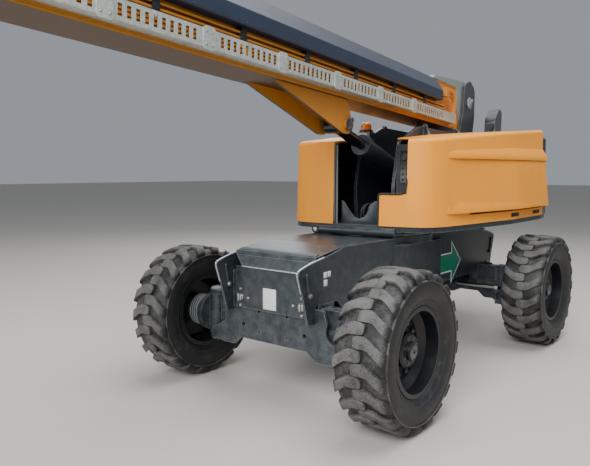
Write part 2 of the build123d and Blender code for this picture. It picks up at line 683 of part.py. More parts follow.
nodes["lift_cylinder_rod"] = lift_rod

# Jib: levelled knuckle, paired upper and lower arms, and the head that carries the platform
tip = from_boom(tip_pin)
jib_top = (tip[0] + 190, tip[1] + 70)
jib_foot = (jib_top[0], jib_top[1] - jib_spacing)
jib_angle = radians(-jib_drop_at_rest)
jib_line = (cos(jib_angle), sin(jib_angle))
jib_pin_radius = 24
plate_inner, plate_outer = 56, 80
arm_inner, arm_outer = plate_outer + moving, 120
slave_eye = (tip[0] - 25, tip[1] - 148)


def jib_point(start, distance, rise=0):
    return (start[0] + jib_line[0] * distance - jib_line[1] * rise,
            start[1] + jib_line[1] * distance + jib_line[0] * rise)


def arm_pair(start, low, high):
    shape = side_slab([
        jib_point(start, *corner) for corner in (
            (-34, low * 0.5), (0, low), (jib_length, low), (jib_length + 34, low * 0.5),
            (jib_length + 34, high * 0.5), (jib_length, high), (0, high), (-34, high * 0.5))
    ], arm_inner, arm_outer)
    for distance in (0, jib_length):
        x, z = jib_point(start, distance)
        shape -= rod((x, 0, z), (x, 200, z), jib_pin_radius + running)
    return both_sides(shape)


knuckle_outline = [
    (tip[0] - 56, tip[1] - 20, 20), (tip[0] - 34, tip[1] + 58, 40), (jib_top[0] - 40, jib_top[1] + 50, 60),
    (jib_top[0] + 46, jib_top[1] + 46, 44), (jib_foot[0] + 46, jib_foot[1] - 44, 44),
    (jib_foot[0] - 60, jib_foot[1] - 40, 60), (slave_eye[0] - 10, slave_eye[1] - 48, 30),
    (slave_eye[0] - 48, slave_eye[1] - 10, 24),
]
jib_knuckle = side_slab([(x, z) for x, z, radius in knuckle_outline], plate_inner, plate_outer,
                        [radius for x, z, radius in knuckle_outline])
jib_knuckle = both_sides(jib_knuckle)
jib_knuckle += cross_pin(tip, fly_2_half - cheek_thickness - 2, 58)
jib_knuckle += cross_pin(tip, fly_2_half + 12, tip_pin_radius)
jib_knuckle += cross_pin(jib_foot, arm_outer + 8, jib_pin_radius)
jib_knuckle += both_sides(rod((jib_top[0], plate_inner, jib_top[1]), (jib_top[0], arm_outer + 8, jib_top[1]),
                              jib_pin_radius))
jib_knuckle += block(jib_top[0] - 60, jib_top[0] - 30, -plate_inner, plate_inner,
                     jib_top[1] - 60, jib_top[1] + 30)
nodes["jib_knuckle"] = jib_knuckle

jib_eye = 950
jib_bridge = 1160
upper = arm_pair(jib_top, -36, 58)
upper += cross_pin(jib_point(jib_top, jib_bridge, 10), arm_inner + 4, 30)
ears = side_slab([
    jib_point(jib_top, *corner) for corner in (
        (jib_eye - 46, 0), (jib_eye - 20, -44), (jib_eye + 30, -44), (jib_bridge + 34, -22),
        (jib_bridge + 34, 40), (jib_eye, 46))], 46, 62)
upper += both_sides(ears)
upper += both_sides(rod((jib_point(jib_top, jib_eye)[0], 60, jib_point(jib_top, jib_eye)[1]),
                        (jib_point(jib_top, jib_eye)[0], 88, jib_point(jib_top, jib_eye)[1]), 26))
nodes["jib_upper_arm"] = upper
lower = arm_pair(jib_foot, -48, 24)
lower += cross_pin(jib_point(jib_foot, 1380, -10), arm_inner + 4, 26)
nodes["jib_lower_arm"] = lower

head_top = jib_point(jib_top, jib_length)
head_foot = jib_point(jib_foot, jib_length)
column_x = head_top[0] + 215
column_radius = 78
column_half = 125
column_z = (head_top[1] + head_foot[1]) / 2
head_outline = [
    (head_top[0] - 44, head_top[1] + 44, 40), (head_top[0] + 46, head_top[1] + 42, 60),
    (column_x - 110, head_top[1] + 12, 60), (column_x, head_top[1] + 10, 0),
    (column_x, head_foot[1] + 10, 0), (head_foot[0] + 20, head_foot[1] - 44, 60),
    (head_foot[0] - 44, head_foot[1] - 44, 40),
]
jib_head = side_slab([(x, z) for x, z, radius in head_outline], plate_inner, plate_outer - 4,
                     [radius for x, z, radius in head_outline])
jib_head = both_sides(jib_head)
jib_head += rod((column_x, 0, column_z - column_half), (column_x, 0, column_z + column_half),
                column_radius)
for centre in (head_top, head_foot):
    jib_head += cross_pin(centre, arm_outer + 8, jib_pin_radius)
shaft_radius = 42
jib_head -= rod((column_x, 0, column_z - 300), (column_x, 0, column_z + 300), shaft_radius + running)
nodes["jib_head"] = jib_head

# Jib cylinder from the knuckle's lower pin to the upper arm, and the levelling cylinder in the tip
jib_eye_at = jib_point(jib_top, jib_eye)


def cylinder_pair(foot, eye, barrel_length, rod_start, barrel_radius, rod_radius, half, foot_bore,
                  eye_size):
    line = Vector(eye[0] - foot[0], 0, eye[1] - foot[1]).normalized()

    def at(distance):
        return (foot[0] + line.X * distance, 0, foot[1] + line.Z * distance)

    barrel = rod(at(20), at(barrel_length), barrel_radius) + cross_pin(foot, half, foot_bore + 18)
    barrel += rod(at(barrel_length - 30), at(barrel_length + 12), barrel_radius + 4)
    barrel -= cross_pin(foot, half + 1, foot_bore + running)
    barrel -= rod(at(foot_bore + 40), at(barrel_length + 20), rod_radius + running)
    slider = rod(at(rod_start), (eye[0], 0, eye[1]), rod_radius) + cross_pin(eye, half, eye_size)
    return barrel, slider


nodes["jib_cylinder_barrel"], nodes["jib_cylinder_rod"] = cylinder_pair(
    jib_foot, jib_eye_at, 690, 150, 36, 20, 38, jib_pin_radius, 34)

nodes["levelling_cylinder_barrel"], nodes["levelling_cylinder_rod"] = cylinder_pair(
    from_boom(slave_foot), slave_eye, 300, 200, 28, 14, 30, slave_pin_radius, 28)

# Platform, drawn with its rear rail along y at the column's front
floor_top = column_z - 790
rear_x = column_x + 150
half_width = platform_width / 2
front_x = rear_x + platform_depth
bracket_body = rod((column_x, 0, column_z - column_half - 40),
                   (column_x, 0, column_z + column_half + 30), shaft_radius)
for low, high in ((column_z - column_half - 46, column_z - column_half - moving),
                  (column_z + column_half + moving, column_z + column_half + 36)):
    bracket_body += rod((column_x, 0, low), (column_x, 0, high), 92)
    bracket_body += block(column_x, rear_x - rail_radius, -92, 92, low, high)
bracket_body += block(rear_x - rail_radius - 40, rear_x - rail_radius, -92, 92, floor_top - 50,
                      column_z + column_half + 36)
bracket_body += side_slab([
    (rear_x - rail_radius - 40, floor_top - 50), (rear_x + 600, floor_top - 50),
    (rear_x + 600, floor_top - 90), (rear_x - rail_radius - 40, floor_top - 120),
], -60, 60)
nodes["platform_bracket"] = bracket_body

floor = block(rear_x - rail_radius, front_x + rail_radius, -half_width, half_width, floor_top - 6,
              floor_top)
for y0 in (-half_width, -half_width / 2 - 25, half_width / 2 - 25, half_width - 50):
    floor += block(rear_x, front_x, y0, y0 + 50, floor_top - 50, floor_top - 5)
for x0 in (rear_x - rail_radius, front_x - 40 + rail_radius):
    floor += block(x0, x0 + 40, -half_width, half_width, floor_top - 50, floor_top - 5)
nodes["platform_floor"] = floor

post_y = half_width - rail_radius
rail_top = floor_top + rail_height - rail_radius
gate_rear, gate_front = rear_x + 190, rear_x + 730
rails = Part()
rail_bend = 75
corner_post = post_y - rail_bend - 15
post_table = [(rear_x, corner_post), (rear_x, 400), (rear_x, -400), (rear_x, -corner_post),
              (front_x, corner_post), (front_x, 400), (front_x, -400), (front_x, -corner_post),
              (rear_x + 450, -post_y), (gate_rear, post_y), (gate_front, post_y)]
for x, y in post_table:
    rails += rod((x, y, floor_top), (x, y, rail_top), rail_radius)
for level in (rail_top, floor_top + 560):
    rails += bent_tube([
        (gate_rear, post_y, level), (rear_x, post_y, level), (rear_x, -post_y, level),
        (front_x, -post_y, level), (front_x, post_y, level), (gate_front, post_y, level),
    ], rail_bend, rail_radius - 0.5)
for x0, x1, y0, y1 in ((rear_x - 2, rear_x + 2, -post_y, post_y), (front_x - 2, front_x + 2, -post_y, post_y),
                       (rear_x, front_x, -post_y - 2, -post_y + 2),
                       (rear_x, gate_rear, post_y - 2, post_y + 2),
                       (gate_front, front_x, post_y - 2, post_y + 2)):
    rails += block(x0, x1, y0, y1, floor_top, floor_top + 110)
gate_stile_radius = 17
gate_gap = rail_radius + gate_stile_radius + moving
gate_x0, gate_x1 = gate_rear + gate_gap, gate_front - gate_gap
for level in (floor_top + 300, floor_top + 850):
    lug = block(gate_rear, gate_x0, post_y - 24, post_y + 18, level, level + 24)
    lug += rod((gate_x0, post_y, level), (gate_x0, post_y, level + 24), gate_stile_radius + 8)
    rails += lug - rod((gate_x0, post_y, level - 1), (gate_x0, post_y, level + 25),
                       gate_stile_radius + running)
nodes["guard_rails"] = rails

gate = Part()
for x in (gate_x0, gate_x1):
    gate += rod((x, post_y, floor_top + 60), (x, post_y, rail_top), gate_stile_radius)
for level in (floor_top + 60, floor_top + 560, rail_top):
    gate += rod((gate_x0, post_y, level), (gate_x1, post_y, level), 16.5)
nodes["platform_gate"] = gate

console_x = rear_x + rail_radius - 0.5
console = side_slab([
    (console_x, floor_top + 860), (console_x, floor_top + 1060), (rear_x + 60, floor_top + 1120),
    (rear_x + 250, floor_top + 1040), (rear_x + 250, floor_top + 960), (rear_x + 200, floor_top + 900),
], -290, 290)
console += block(console_x, console_x + 14, -200, 200, floor_top + 540, floor_top + 900)
nodes["control_console"] = console

# Everything is moved so that the origin is the middle of the underside of its outer box
slewed = Rot(0, 0, slew_at_rest)
raised = slewed * Pos(pivot_x, 0, pivot_z) * Rot(0, -boom_raise_at_rest, 0)
on_boom = ("boom_base", "fly_section_1", "fly_section_2", "cable_tray", "side_pipes", "chain_cover",
           "boom_rear_housing")
on_turret = ("turret_frame", "counterweight", "engine_block", "control_recess", "beacon",
             "left_hood", "right_hood", "lift_cylinder_barrel", "lift_cylinder_rod", "jib_knuckle",
             "jib_upper_arm", "jib_lower_arm", "jib_head", "jib_cylinder_barrel", "jib_cylinder_rod",
             "platform_bracket", "platform_floor", "guard_rails", "platform_gate", "control_console",
             "levelling_cylinder_barrel", "levelling_cylinder_rod")
for name in on_boom:
    nodes[name] = raised * nodes[name]
for name in on_turret:
    nodes[name] = slewed * nodes[name]

outer = Compound(children=[Compound(shape.solids()) for shape in nodes.values()]).bounding_box()
shift = (-(outer.min.X + outer.max.X) / 2, -(outer.min.Y + outer.max.Y) / 2, 0)
os.makedirs("parts", exist_ok=True)
for name, shape in nodes.items():
    export_step(Pos(*shift) * shape, "parts/" + name + ".step")
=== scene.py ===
import bpy, bmesh, json, math
from mathutils import Vector, Matrix


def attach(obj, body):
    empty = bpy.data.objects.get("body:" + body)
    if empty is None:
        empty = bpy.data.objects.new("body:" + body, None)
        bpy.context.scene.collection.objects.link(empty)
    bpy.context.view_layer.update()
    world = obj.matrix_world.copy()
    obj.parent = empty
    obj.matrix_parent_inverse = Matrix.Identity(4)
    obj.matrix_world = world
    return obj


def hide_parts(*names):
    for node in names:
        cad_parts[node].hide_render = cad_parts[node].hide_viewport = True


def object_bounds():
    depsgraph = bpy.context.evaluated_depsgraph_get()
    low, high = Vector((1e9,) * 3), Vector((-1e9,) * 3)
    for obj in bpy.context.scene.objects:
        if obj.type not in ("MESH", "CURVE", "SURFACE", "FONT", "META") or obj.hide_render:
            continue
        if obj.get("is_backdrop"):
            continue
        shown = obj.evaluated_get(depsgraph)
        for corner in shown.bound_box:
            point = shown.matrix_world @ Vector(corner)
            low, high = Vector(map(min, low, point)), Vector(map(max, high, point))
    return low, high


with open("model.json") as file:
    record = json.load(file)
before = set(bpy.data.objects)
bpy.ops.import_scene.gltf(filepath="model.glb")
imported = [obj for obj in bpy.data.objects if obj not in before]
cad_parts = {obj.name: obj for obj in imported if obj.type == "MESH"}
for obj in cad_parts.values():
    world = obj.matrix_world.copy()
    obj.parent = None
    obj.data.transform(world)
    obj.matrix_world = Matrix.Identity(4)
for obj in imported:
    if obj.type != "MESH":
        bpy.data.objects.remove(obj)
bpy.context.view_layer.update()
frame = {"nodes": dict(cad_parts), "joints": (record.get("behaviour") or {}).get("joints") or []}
joints = {j["name"]: j for j in frame["joints"]}
slewAxis = Vector(joints["slew"]["pos_m"])
print("frame loaded:", len(frame["nodes"]), "nodes")


# colours and nodes
def hexColour(text):
    values = [int(text[i:i + 2], 16) / 255 for i in (1, 3, 5)]
    linear = [v / 12.92 if v <= 0.04045 else ((v + 0.055) / 1.055) ** 2.4 for v in values]
    return (*linear, 1.0)


def feed(node, inputs):
    # inputs by name or number, or all of them in order; each takes a number, a colour, or what another
    # node hands on: a mix its colour, any other its first output
    for key, value in (inputs.items() if isinstance(inputs, dict) else enumerate(inputs)):
        if isinstance(value, bpy.types.Node):
            value = value.outputs[2 if value.type == "MIX" else 0]
        if isinstance(value, bpy.types.NodeSocket):
            node.id_data.links.new(value, node.inputs[key])
        else:
            node.inputs[key].default_value = hexColour(value) if isinstance(value, str) else value


def addNode(tree, kind, inputs=(), **settings):
    node = tree.nodes.new("ShaderNode" + kind)
    for key, value in settings.items():
        setattr(node, key, value)
    feed(node, inputs)
    return node


def newMaterial(name):
    material = bpy.data.materials.new(name)
    material.use_nodes = True
    tree = material.node_tree
    tree.nodes.clear()
    shader = addNode(tree, "BsdfPrincipled")
    addNode(tree, "OutputMaterial", {"Surface": shader})
    place = addNode(tree, "TexCoord").outputs["Object"]
    return material, tree, shader, place


def painted(name, colour, faded, rough=0.38, dustAndReflectionHex="#8d867a", dust=0.3, topDustAndReflection=0.6, coat=0.0, edgeWearAndHighlight=0.0,
            wearAndHighlightHex="#8f9496", streaks=0.0, scratches=0.0, undersideShade=0.0, gloss=0.5):
    material, tree, shader, place = newMaterial(name)
    # the sun fades the paint in clouds of about 400 mm
    cloud = addNode(tree, "TexNoise", {"Scale": 2.4, "Detail": 5.0, "Roughness": 0.6, "Vector": place})
    result = addNode(tree, "Mix", {0: cloud, 6: colour, 7: faded}, data_type="RGBA")
    layers = []
    if edgeWearAndHighlight:
        # paint is rubbed through along sharp edges, in patches of about 30 mm; the pale edges are also a
        # painted highlight on rounded edges
        rounded = addNode(tree, "Bevel", [0.005], samples=4)
        sharp = addNode(tree, "NewGeometry").outputs["Normal"]
        turn = addNode(tree, "VectorMath", [rounded, sharp], operation="DOT_PRODUCT").outputs["Value"]
        patch = addNode(tree, "TexNoise", {"Scale": 34.0, "Detail": 6.0, "Roughness": 0.7, "Vector": place})
        bare = addNode(tree, "MapRange", [turn, 0.985, 0.80, -0.45, 0.75])
        edge = addNode(tree, "Math", [bare, patch], operation="ADD")
        rubbedAndLitEdges = addNode(tree, "MapRange", [edge, 0.60, 0.92, 0.0, edgeWearAndHighlight])
        layers.append((rubbedAndLitEdges, wearAndHighlightHex))
    if streaks:
        # rain runs, stretched down the face
        stretch = addNode(tree, "Mapping", {"Scale": (14.0, 14.0, 0.9), "Vector": place})
        runs = addNode(tree, "TexNoise", {"Scale": 1.0, "Detail": 4.0, "Vector": stretch})
        thin = addNode(tree, "MapRange", [runs, 0.52, 0.8, 0.0, streaks])
        layers.append((thin, dustAndReflectionHex))
    if scratches:
        # fine scuffs of 2 to 40 mm left by boots, branches and straps
        lay = addNode(tree, "Mapping", {"Scale": (9.0, 9.0, 70.0), "Rotation": (0.5, 0.9, 0.3),
                                        "Vector": place})
        scuff = addNode(tree, "TexNoise", {"Scale": 2.2, "Detail": 9.0, "Roughness": 0.75, "Vector": lay})
        line = addNode(tree, "MapRange", [scuff, 0.60, 0.68, 0.0, scratches])
        layers.append((line, wearAndHighlightHex))
    # dust lies on faces that look up and is splashed up from below; on the slate frame the pale tops are also
    # a painted reflection of the sky
    normal = addNode(tree, "NewGeometry").outputs["Normal"]
    slope = addNode(tree, "SeparateXYZ", [normal]).outputs[2]
    height = addNode(tree, "SeparateXYZ", [place]).outputs[2]
    flat = addNode(tree, "MapRange", [slope, 0.2, 1.0, 0.0, topDustAndReflection])
    low = addNode(tree, "MapRange", [height, 0.3, 1.3, 0.9, 0.12])
    sand = addNode(tree, "TexNoise", {"Scale": 15.0, "Detail": 10.0, "Roughness": 0.7, "Vector": place})
    grit = addNode(tree, "MapRange", [sand, 0.38, 0.72, 0.0, 1.0])
    where = addNode(tree, "Math", [flat, low], operation="ADD", use_clamp=True)
    amount = addNode(tree, "Math", [where, grit], operation="MULTIPLY")
    level = addNode(tree, "Math", [amount, dust * 2], operation="MULTIPLY", use_clamp=True)
    if undersideShade:
        # painted shade: faces that look down turn dark brown, standing in for the shade under the boom and
        # hoods
        shadeBelow = addNode(tree, "MapRange", [slope, -0.35, -0.95, 0.0, undersideShade])
        layers.append((shadeBelow, "#2f241b"))
    for share, layer in layers + [(level, dustAndReflectionHex)]:
        result = addNode(tree, "Mix", {0: share, 6: result, 7: layer}, data_type="RGBA")
    matt = addNode(tree, "MapRange", [level, 0.0, 1.0, rough, 0.85])
    # orange peel, 2.5 mm across
    skin = addNode(tree, "TexNoise", {"Scale": 400.0, "Detail": 2.0, "Vector": place})
    bump = addNode(tree, "Bump", {"Strength": 0.12, "Distance": 0.0006, "Height": skin})
    feed(shader, {"Base Color": result, "Roughness": matt, "Normal": bump, "Coat Weight": coat,
                  "Coat Roughness": 0.22, "Specular IOR Level": gloss})
    return material


def metal(name, colour, rough, grain=0.004, spread=0.12, rust=0.0):
    material, tree, shader, place = newMaterial(name)
    noise = addNode(tree, "TexNoise", {"Scale": 1 / grain, "Detail": 3.0, "Vector": place})
    matt = addNode(tree, "MapRange", [noise, 0.3, 0.7, max(rough - spread, 0.03), rough + spread])
    # a bloom of rust and old grease in spots of about 20 mm
    spots = addNode(tree, "TexNoise", {"Scale": 42.0, "Detail": 7.0, "Roughness": 0.65, "Vector": place})
    bloom = addNode(tree, "MapRange", [spots, 0.62 - rust * 0.2, 0.80, 0.0, rust])
    tone = addNode(tree, "Mix", {0: bloom, 6: colour, 7: "#5a3c28"}, data_type="RGBA")
    shine = addNode(tree, "Math", [1.0, bloom], operation="SUBTRACT", use_clamp=True)
    feed(shader, {"Base Color": tone, "Metallic": shine, "Roughness": matt})
    return material


def galvanised():
    # hot-dip galvanised sheet: pale zinc with crystals of 15 to 30 mm, slightly green-grey and dull
    material, tree, shader, place = newMaterial("hot_dip_galvanised_steel")
    spangle = addNode(tree, "TexVoronoi", {"Scale": 48.0, "Vector": place}, feature="F1")
    tone = addNode(tree, "Mix", {0: spangle, 6: "#c3c9c4", 7: "#9da5a0"}, data_type="RGBA")
    stain = addNode(tree, "TexNoise", {"Scale": 9.0, "Detail": 8.0, "Roughness": 0.7, "Vector": place})
    dull = addNode(tree, "MapRange", [stain, 0.46, 0.75, 0.0, 0.55])
    dirty = addNode(tree, "Mix", {0: dull, 6: tone, 7: "#77796f"}, data_type="RGBA")
    matt = addNode(tree, "MapRange", [spangle, 0.0, 0.8, 0.42, 0.66])
    feed(shader, {"Base Color": dirty, "Metallic": 0.45, "Roughness": matt})
    return material


def moulded(name, colour, pale, rough, grain=0.0012, strength=0.25, dust=0.25):
    material, tree, shader, place = newMaterial(name)
    # sun-bleached clouds, with dust on the faces that look up
    cloud = addNode(tree, "TexNoise", {"Scale": 5.0, "Detail": 8.0, "Roughness": 0.7, "Vector": place})
    tone = addNode(tree, "Mix", {0: cloud, 6: colour, 7: pale}, data_type="RGBA")
    normal = addNode(tree, "NewGeometry").outputs["Normal"]
    slope = addNode(tree, "SeparateXYZ", [normal]).outputs[2]
    upward = addNode(tree, "MapRange", [slope, 0.3, 1.0, 0.0, dust])
    dusty = addNode(tree, "Mix", {0: upward, 6: tone, 7: "#8d877c"}, data_type="RGBA")
    noise = addNode(tree, "TexNoise", {"Scale": 1 / grain, "Detail": 3.0, "Vector": place})
    bump = addNode(tree, "Bump", {"Strength": strength, "Distance": 0.0004, "Height": noise})
    feed(shader, {"Base Color": dusty, "Roughness": rough, "Normal": bump})
    return material


def tyreRubber():
    # moulded tyre rubber: blue-black walls, with pale soil rubbed into the tread and the ridges
    material, tree, shader, place = newMaterial("moulded_tyre_rubber")
    tread = addNode(tree, "Attribute", attribute_name="tread").outputs["Fac"]
    cloud = addNode(tree, "TexNoise", {"Scale": 9.0, "Detail": 10.0, "Roughness": 0.72, "Vector": place})
    speck = addNode(tree, "TexNoise", {"Scale": 90.0, "Detail": 6.0, "Roughness": 0.7, "Vector": place})
    blotch = addNode(tree, "Math", [speck, 0.9, cloud], operation="MULTIPLY_ADD")
    soil = addNode(tree, "Math", [tread, 0.36, blotch], operation="MULTIPLY_ADD")
    level = addNode(tree, "MapRange", [soil, 1.02, 1.52, 0.0, 0.9])
    base = addNode(tree, "Mix", {0: cloud, 6: "#0e1012", 7: "#1b1c1e"}, data_type="RGBA")
    tone = addNode(tree, "Mix", {0: level, 6: base, 7: "#706f6c"}, data_type="RGBA")
    matt = addNode(tree, "MapRange", [level, 0.0, 1.0, 0.55, 0.95])
    grain = addNode(tree, "TexNoise", {"Scale": 160.0, "Detail": 5.0, "Vector": place})
    bump = addNode(tree, "Bump", {"Strength": 0.5, "Distance": 0.003, "Height": grain})
    feed(shader, {"Base Color": tone, "Roughness": matt, "IOR": 1.52, "Normal": bump})
    return material


def amberLens():
    # clear amber polycarbonate dome: light goes through it
    material, tree, shader, place = newMaterial("amber_polycarbonate")
    ribs = addNode(tree, "TexWave", {"Scale": 30.0, "Vector": place}, bands_direction="Z").outputs[1]
    bump = addNode(tree, "Bump", {"Strength": 0.4, "Distance": 0.001, "Height": ribs})
    feed(shader, {"Base Color": "#f08a12", "Transmission Weight": 0.55, "Roughness": 0.12, "IOR": 1.58,
                  "Normal": bump})
    return material


# finishes
# fibreglass panels with gel coat: soft gloss, warm melon yellow that has faded a little in the sun, with
# painted shade on faces that look down
gelCoat = painted("gel_coat_melon_yellow", "#f8960f", "#f2a233", rough=0.46, dust=0.08, topDustAndReflection=0.06,
                  gloss=0.25, dustAndReflectionHex="#b98a4c", streaks=0.12, scratches=0.16, wearAndHighlightHex="#f6bd6a", undersideShade=0.5)
# two-pack paint on welded boom plate, thinner and duller than the panels, with dust on top and painted shade
# on its underside
boomPaint = painted("two_pack_yellow_on_steel", "#cd8118", "#b87b2b", rough=0.46, dust=0.26, topDustAndReflection=0.5,
                    dustAndReflectionHex="#8c7350", streaks=0.30, edgeWearAndHighlight=0.35, wearAndHighlightHex="#a98a5a", scratches=0.25, undersideShade=0.93,
                    gloss=0.35)
# powder coat on the chassis plate: dark slate, rubbed pale along its edges and dusted from the yard;
# the pale edges are also a painted highlight, and the pale faces that look up a painted reflection of the sky
framePaint = painted("powder_coat_slate", "#1b242a", "#222d34", rough=0.34, dust=0.12, topDustAndReflection=1.0,
                     dustAndReflectionHex="#a0a6a8", edgeWearAndHighlight=0.6, wearAndHighlightHex="#c3c9ca", scratches=0.16)
# the rims' powder coat: nearly black and dull, pale along its edges from worn paint and a painted highlight
rimPaint = painted("powder_coat_near_black", "#070a10", "#0d1118", rough=0.42, dust=0.05, topDustAndReflection=0.2,
                   dustAndReflectionHex="#5c584f", edgeWearAndHighlight=0.6, wearAndHighlightHex="#80868a")
# enamel on castings and small steelwork: flat grey-green with some dust
castPaint = painted("grey_green_enamel_on_casting", "#6f7b79", "#858f8c", rough=0.48, dust=0.22,
                    dustAndReflectionHex="#a59f92", edgeWearAndHighlight=0.4, wearAndHighlightHex="#b9beba")
# enamel on the cylinders' barrels: black, smooth and with a wet-looking gloss
cylinderPaint = painted("black_enamel_on_cylinder", "#1c2226", "#283036", rough=0.3, dust=0.2, coat=0.3,
                        edgeWearAndHighlight=0.4)
rubber = tyreRubber()
zinc = galvanised()
# turned and ground bearing steel, thinly oiled
bearingSteel = metal("turned_bearing_steel", "#6d6f72", 0.36, rust=0.5)
# hard chrome on ground rod: bright, with faint wear
hardChrome = metal("hard_chrome_plate", "#c9cccf", 0.12, spread=0.05)
# the lift rod's chrome, darker than the other rods
darkChrome = metal("dark_hard_chrome", "#454b53", 0.24, spread=0.06, rust=0.2)
# pale steel along the chassis plate's rounded edges: worn by straps and boots, and a painted highlight there
wornEdgeAndHighlight = metal("worn_steel_edge_and_highlight", "#b9bfc2", 0.3, rust=0.25)
# zinc-plated bolts: pale, slightly yellow, dulled by weather
boltZinc = metal("zinc_plated_bolt", "#c6c6be", 0.32, grain=0.002, rust=0.4)
# the engine's sand-cast iron: dark, rough and rusty
castIron = metal("sand_cast_iron", "#3a3836", 0.62, rust=0.6)
# black and navy moulded covers, fine moulded grain of about 1 mm
blackCover = moulded("moulded_abs_black", "#121417", "#1d2023", 0.5)
navyCover = moulded("moulded_abs_navy", "#1a2435", "#263349", 0.40, dust=0.16)
# extruded rubber: near black on hoses and seals, grey on the hoods' trim, chalky where it has aged
hoseRubber = moulded("extruded_hose_rubber", "#101112", "#1c1d1e", 0.62, grain=0.0008)
trimRubber = moulded("extruded_epdm_trim_grey", "#6d726f", "#8b8f8b", 0.6, grain=0.0008)
# blank vinyl sheets, smooth and slightly glossy, in the colours of the plates and the arrow
whiteVinyl = moulded("vinyl_sheet_white", "#e4e6e4", "#cfd2d0", 0.34, strength=0.05, dust=0.5)
greenVinyl = moulded("vinyl_sheet_green", "#0f7d5c", "#178566", 0.34, strength=0.05, dust=0.5)
# red polyamide of the stop buttons, smooth with a soft gloss
redPlastic = moulded("moulded_pa_red", "#c01f1a", "#a82a22", 0.35, strength=0.1)
amber = amberLens()

wheels = [end + "_" + side for end in ("front", "rear") for side in ("left", "right")]
finishes = {
    gelCoat: ["left_hood", "right_hood"],
    darkChrome: ["lift_cylinder_rod"],
    boomPaint: ["boom_base", "side_pipes", "fly_section_1", "fly_section_2", "jib_upper_arm",
                "jib_lower_arm"],
    framePaint: ["chassis_frame", "end_plates", "end_covers", "axles", "turret_frame", "counterweight"]
    + [wheel + "_knuckle" for wheel in wheels],
    rimPaint: [wheel + "_rim" for wheel in wheels],
    rubber: [wheel + "_tyre" for wheel in wheels],
    bearingSteel: ["slewing_ring"],
    castIron: ["engine_block"],
    blackCover: ["control_recess", "control_console"],
    navyCover: ["chain_cover"],
    amber: ["beacon"],
    zinc: ["cable_tray"],
    castPaint: ["boom_rear_housing", "jib_knuckle", "jib_head", "platform_bracket", "platform_floor",
                "guard_rails", "platform_gate"],
    cylinderPaint: ["lift_cylinder_barrel", "levelling_cylinder_barrel", "jib_cylinder_barrel"],
    hardChrome: ["levelling_cylinder_rod", "jib_cylinder_rod", "front_steering_rod",
                 "rear_steering_rod"],
}
for material, names in finishes.items():
    for name in names:
        mesh = frame["nodes"][name].data
        mesh.materials.clear()
        mesh.materials.append(material)
print("finishes on the nodes:", len(finishes))


# the ways in which pieces are made, all with Blender's own tools
def deselect():
    if bpy.context.mode != "OBJECT":
        bpy.ops.object.mode_set(mode="OBJECT")
    bpy.ops.object.select_all(action="DESELECT")


def choose(piece):
    deselect()
    piece.select_set(True)
    bpy.context.view_layer.objects.active = piece


def settle(piece, place=None):
    # the piece's place goes into its mesh, and its object stays at the origin
    choose(piece)
    if place is not None:
        piece.matrix_world = place @ piece.matrix_world
    bpy.ops.object.transform_apply(location=True, rotation=True, scale=True)
    return piece


def pickFaces(piece, rule):
    # edit mode, with only those faces selected whose middle and normal meet the rule
    choose(piece)
    bpy.ops.object.mode_set(mode="EDIT")
    bpy.ops.mesh.select_mode(type="FACE")
    bpy.ops.mesh.select_all(action="DESELECT")
    shape = bmesh.from_edit_mesh(piece.data)
    for face in shape.faces:
        face.select_set(rule(face.calc_center_median(), face.normal))
    bmesh.update_edit_mesh(piece.data)


def smoothed(piece, angle=40):
    # smooth shading, with a crease where the faces turn by more than the angle in degrees
    choose(piece)
    bpy.ops.object.shade_smooth_by_angle(angle=math.radians(angle))
    return piece


def softened(piece, width, angle=35):
    choose(piece)
    edges = piece.modifiers.new("edges", "BEVEL")
    edges.width, edges.segments = width, 2
    edges.limit_method, edges.angle_limit = "ANGLE", math.radians(angle)
    bpy.ops.object.modifier_apply(modifier="edges")
    return smoothed(piece)


def openUp(piece):
    # edit mode, with all of the piece selected
    choose(piece)
    bpy.ops.object.mode_set(mode="EDIT")
    bpy.ops.mesh.select_all(action="SELECT")


def outwards(piece):
    openUp(piece)
    bpy.ops.mesh.remove_doubles(threshold=0.00005)
    bpy.ops.mesh.normals_make_consistent(inside=False)
    bpy.ops.object.mode_set(mode="OBJECT")
    return piece


def drawnOut(step):
    # what is selected in edit mode is extruded along the step
    bpy.ops.mesh.extrude_region_move(TRANSFORM_OT_translate={"value": step})


def slab(low, high, edge=0.002):
    # a block between two corners, with its edges rounded
    deselect()
    middle = [(a + b) / 2 for a, b in zip(low, high)]
    bpy.ops.mesh.primitive_cube_add(size=1, location=middle, scale=[b - a for a, b in zip(low, high)])
    return softened(settle(bpy.context.object), edge)


def lathe(stations, sides=24):
    # a disc drawn along z and resized at each (height, radius)
    deselect()
    height, radius = stations[0]
    bpy.ops.mesh.primitive_circle_add(vertices=sides, radius=radius, fill_type="NGON",
                                      location=(0, 0, height))
    piece = settle(bpy.context.object)
    openUp(piece)
    for nextHeight, nextRadius in stations[1:]:
        drawnOut((0, 0, nextHeight - height))
        grow = nextRadius / radius
        bpy.ops.transform.resize(value=(grow, grow, 1), center_override=(0, 0, nextHeight))
        height, radius = nextHeight, nextRadius
    return smoothed(outwards(piece))


def drawLine(points):
    # a closed line drawn corner by corner on the xy plane
    deselect()
    bpy.ops.mesh.primitive_plane_add(size=0.01)
    piece = bpy.context.object
    bpy.ops.object.mode_set(mode="EDIT")
    bpy.ops.mesh.select_mode(type="VERT")
    bpy.ops.mesh.select_all(action="SELECT")
    bpy.ops.mesh.merge(type="CENTER")
    bpy.ops.transform.translate(value=(*points[0], 0))
    for start, end in zip(points, points[1:] + points[:1]):
        drawnOut((end[0] - start[0], end[1] - start[1], 0))
    bpy.ops.mesh.select_all(action="SELECT")
    bpy.ops.mesh.remove_doubles(threshold=0.00002)
    return piece


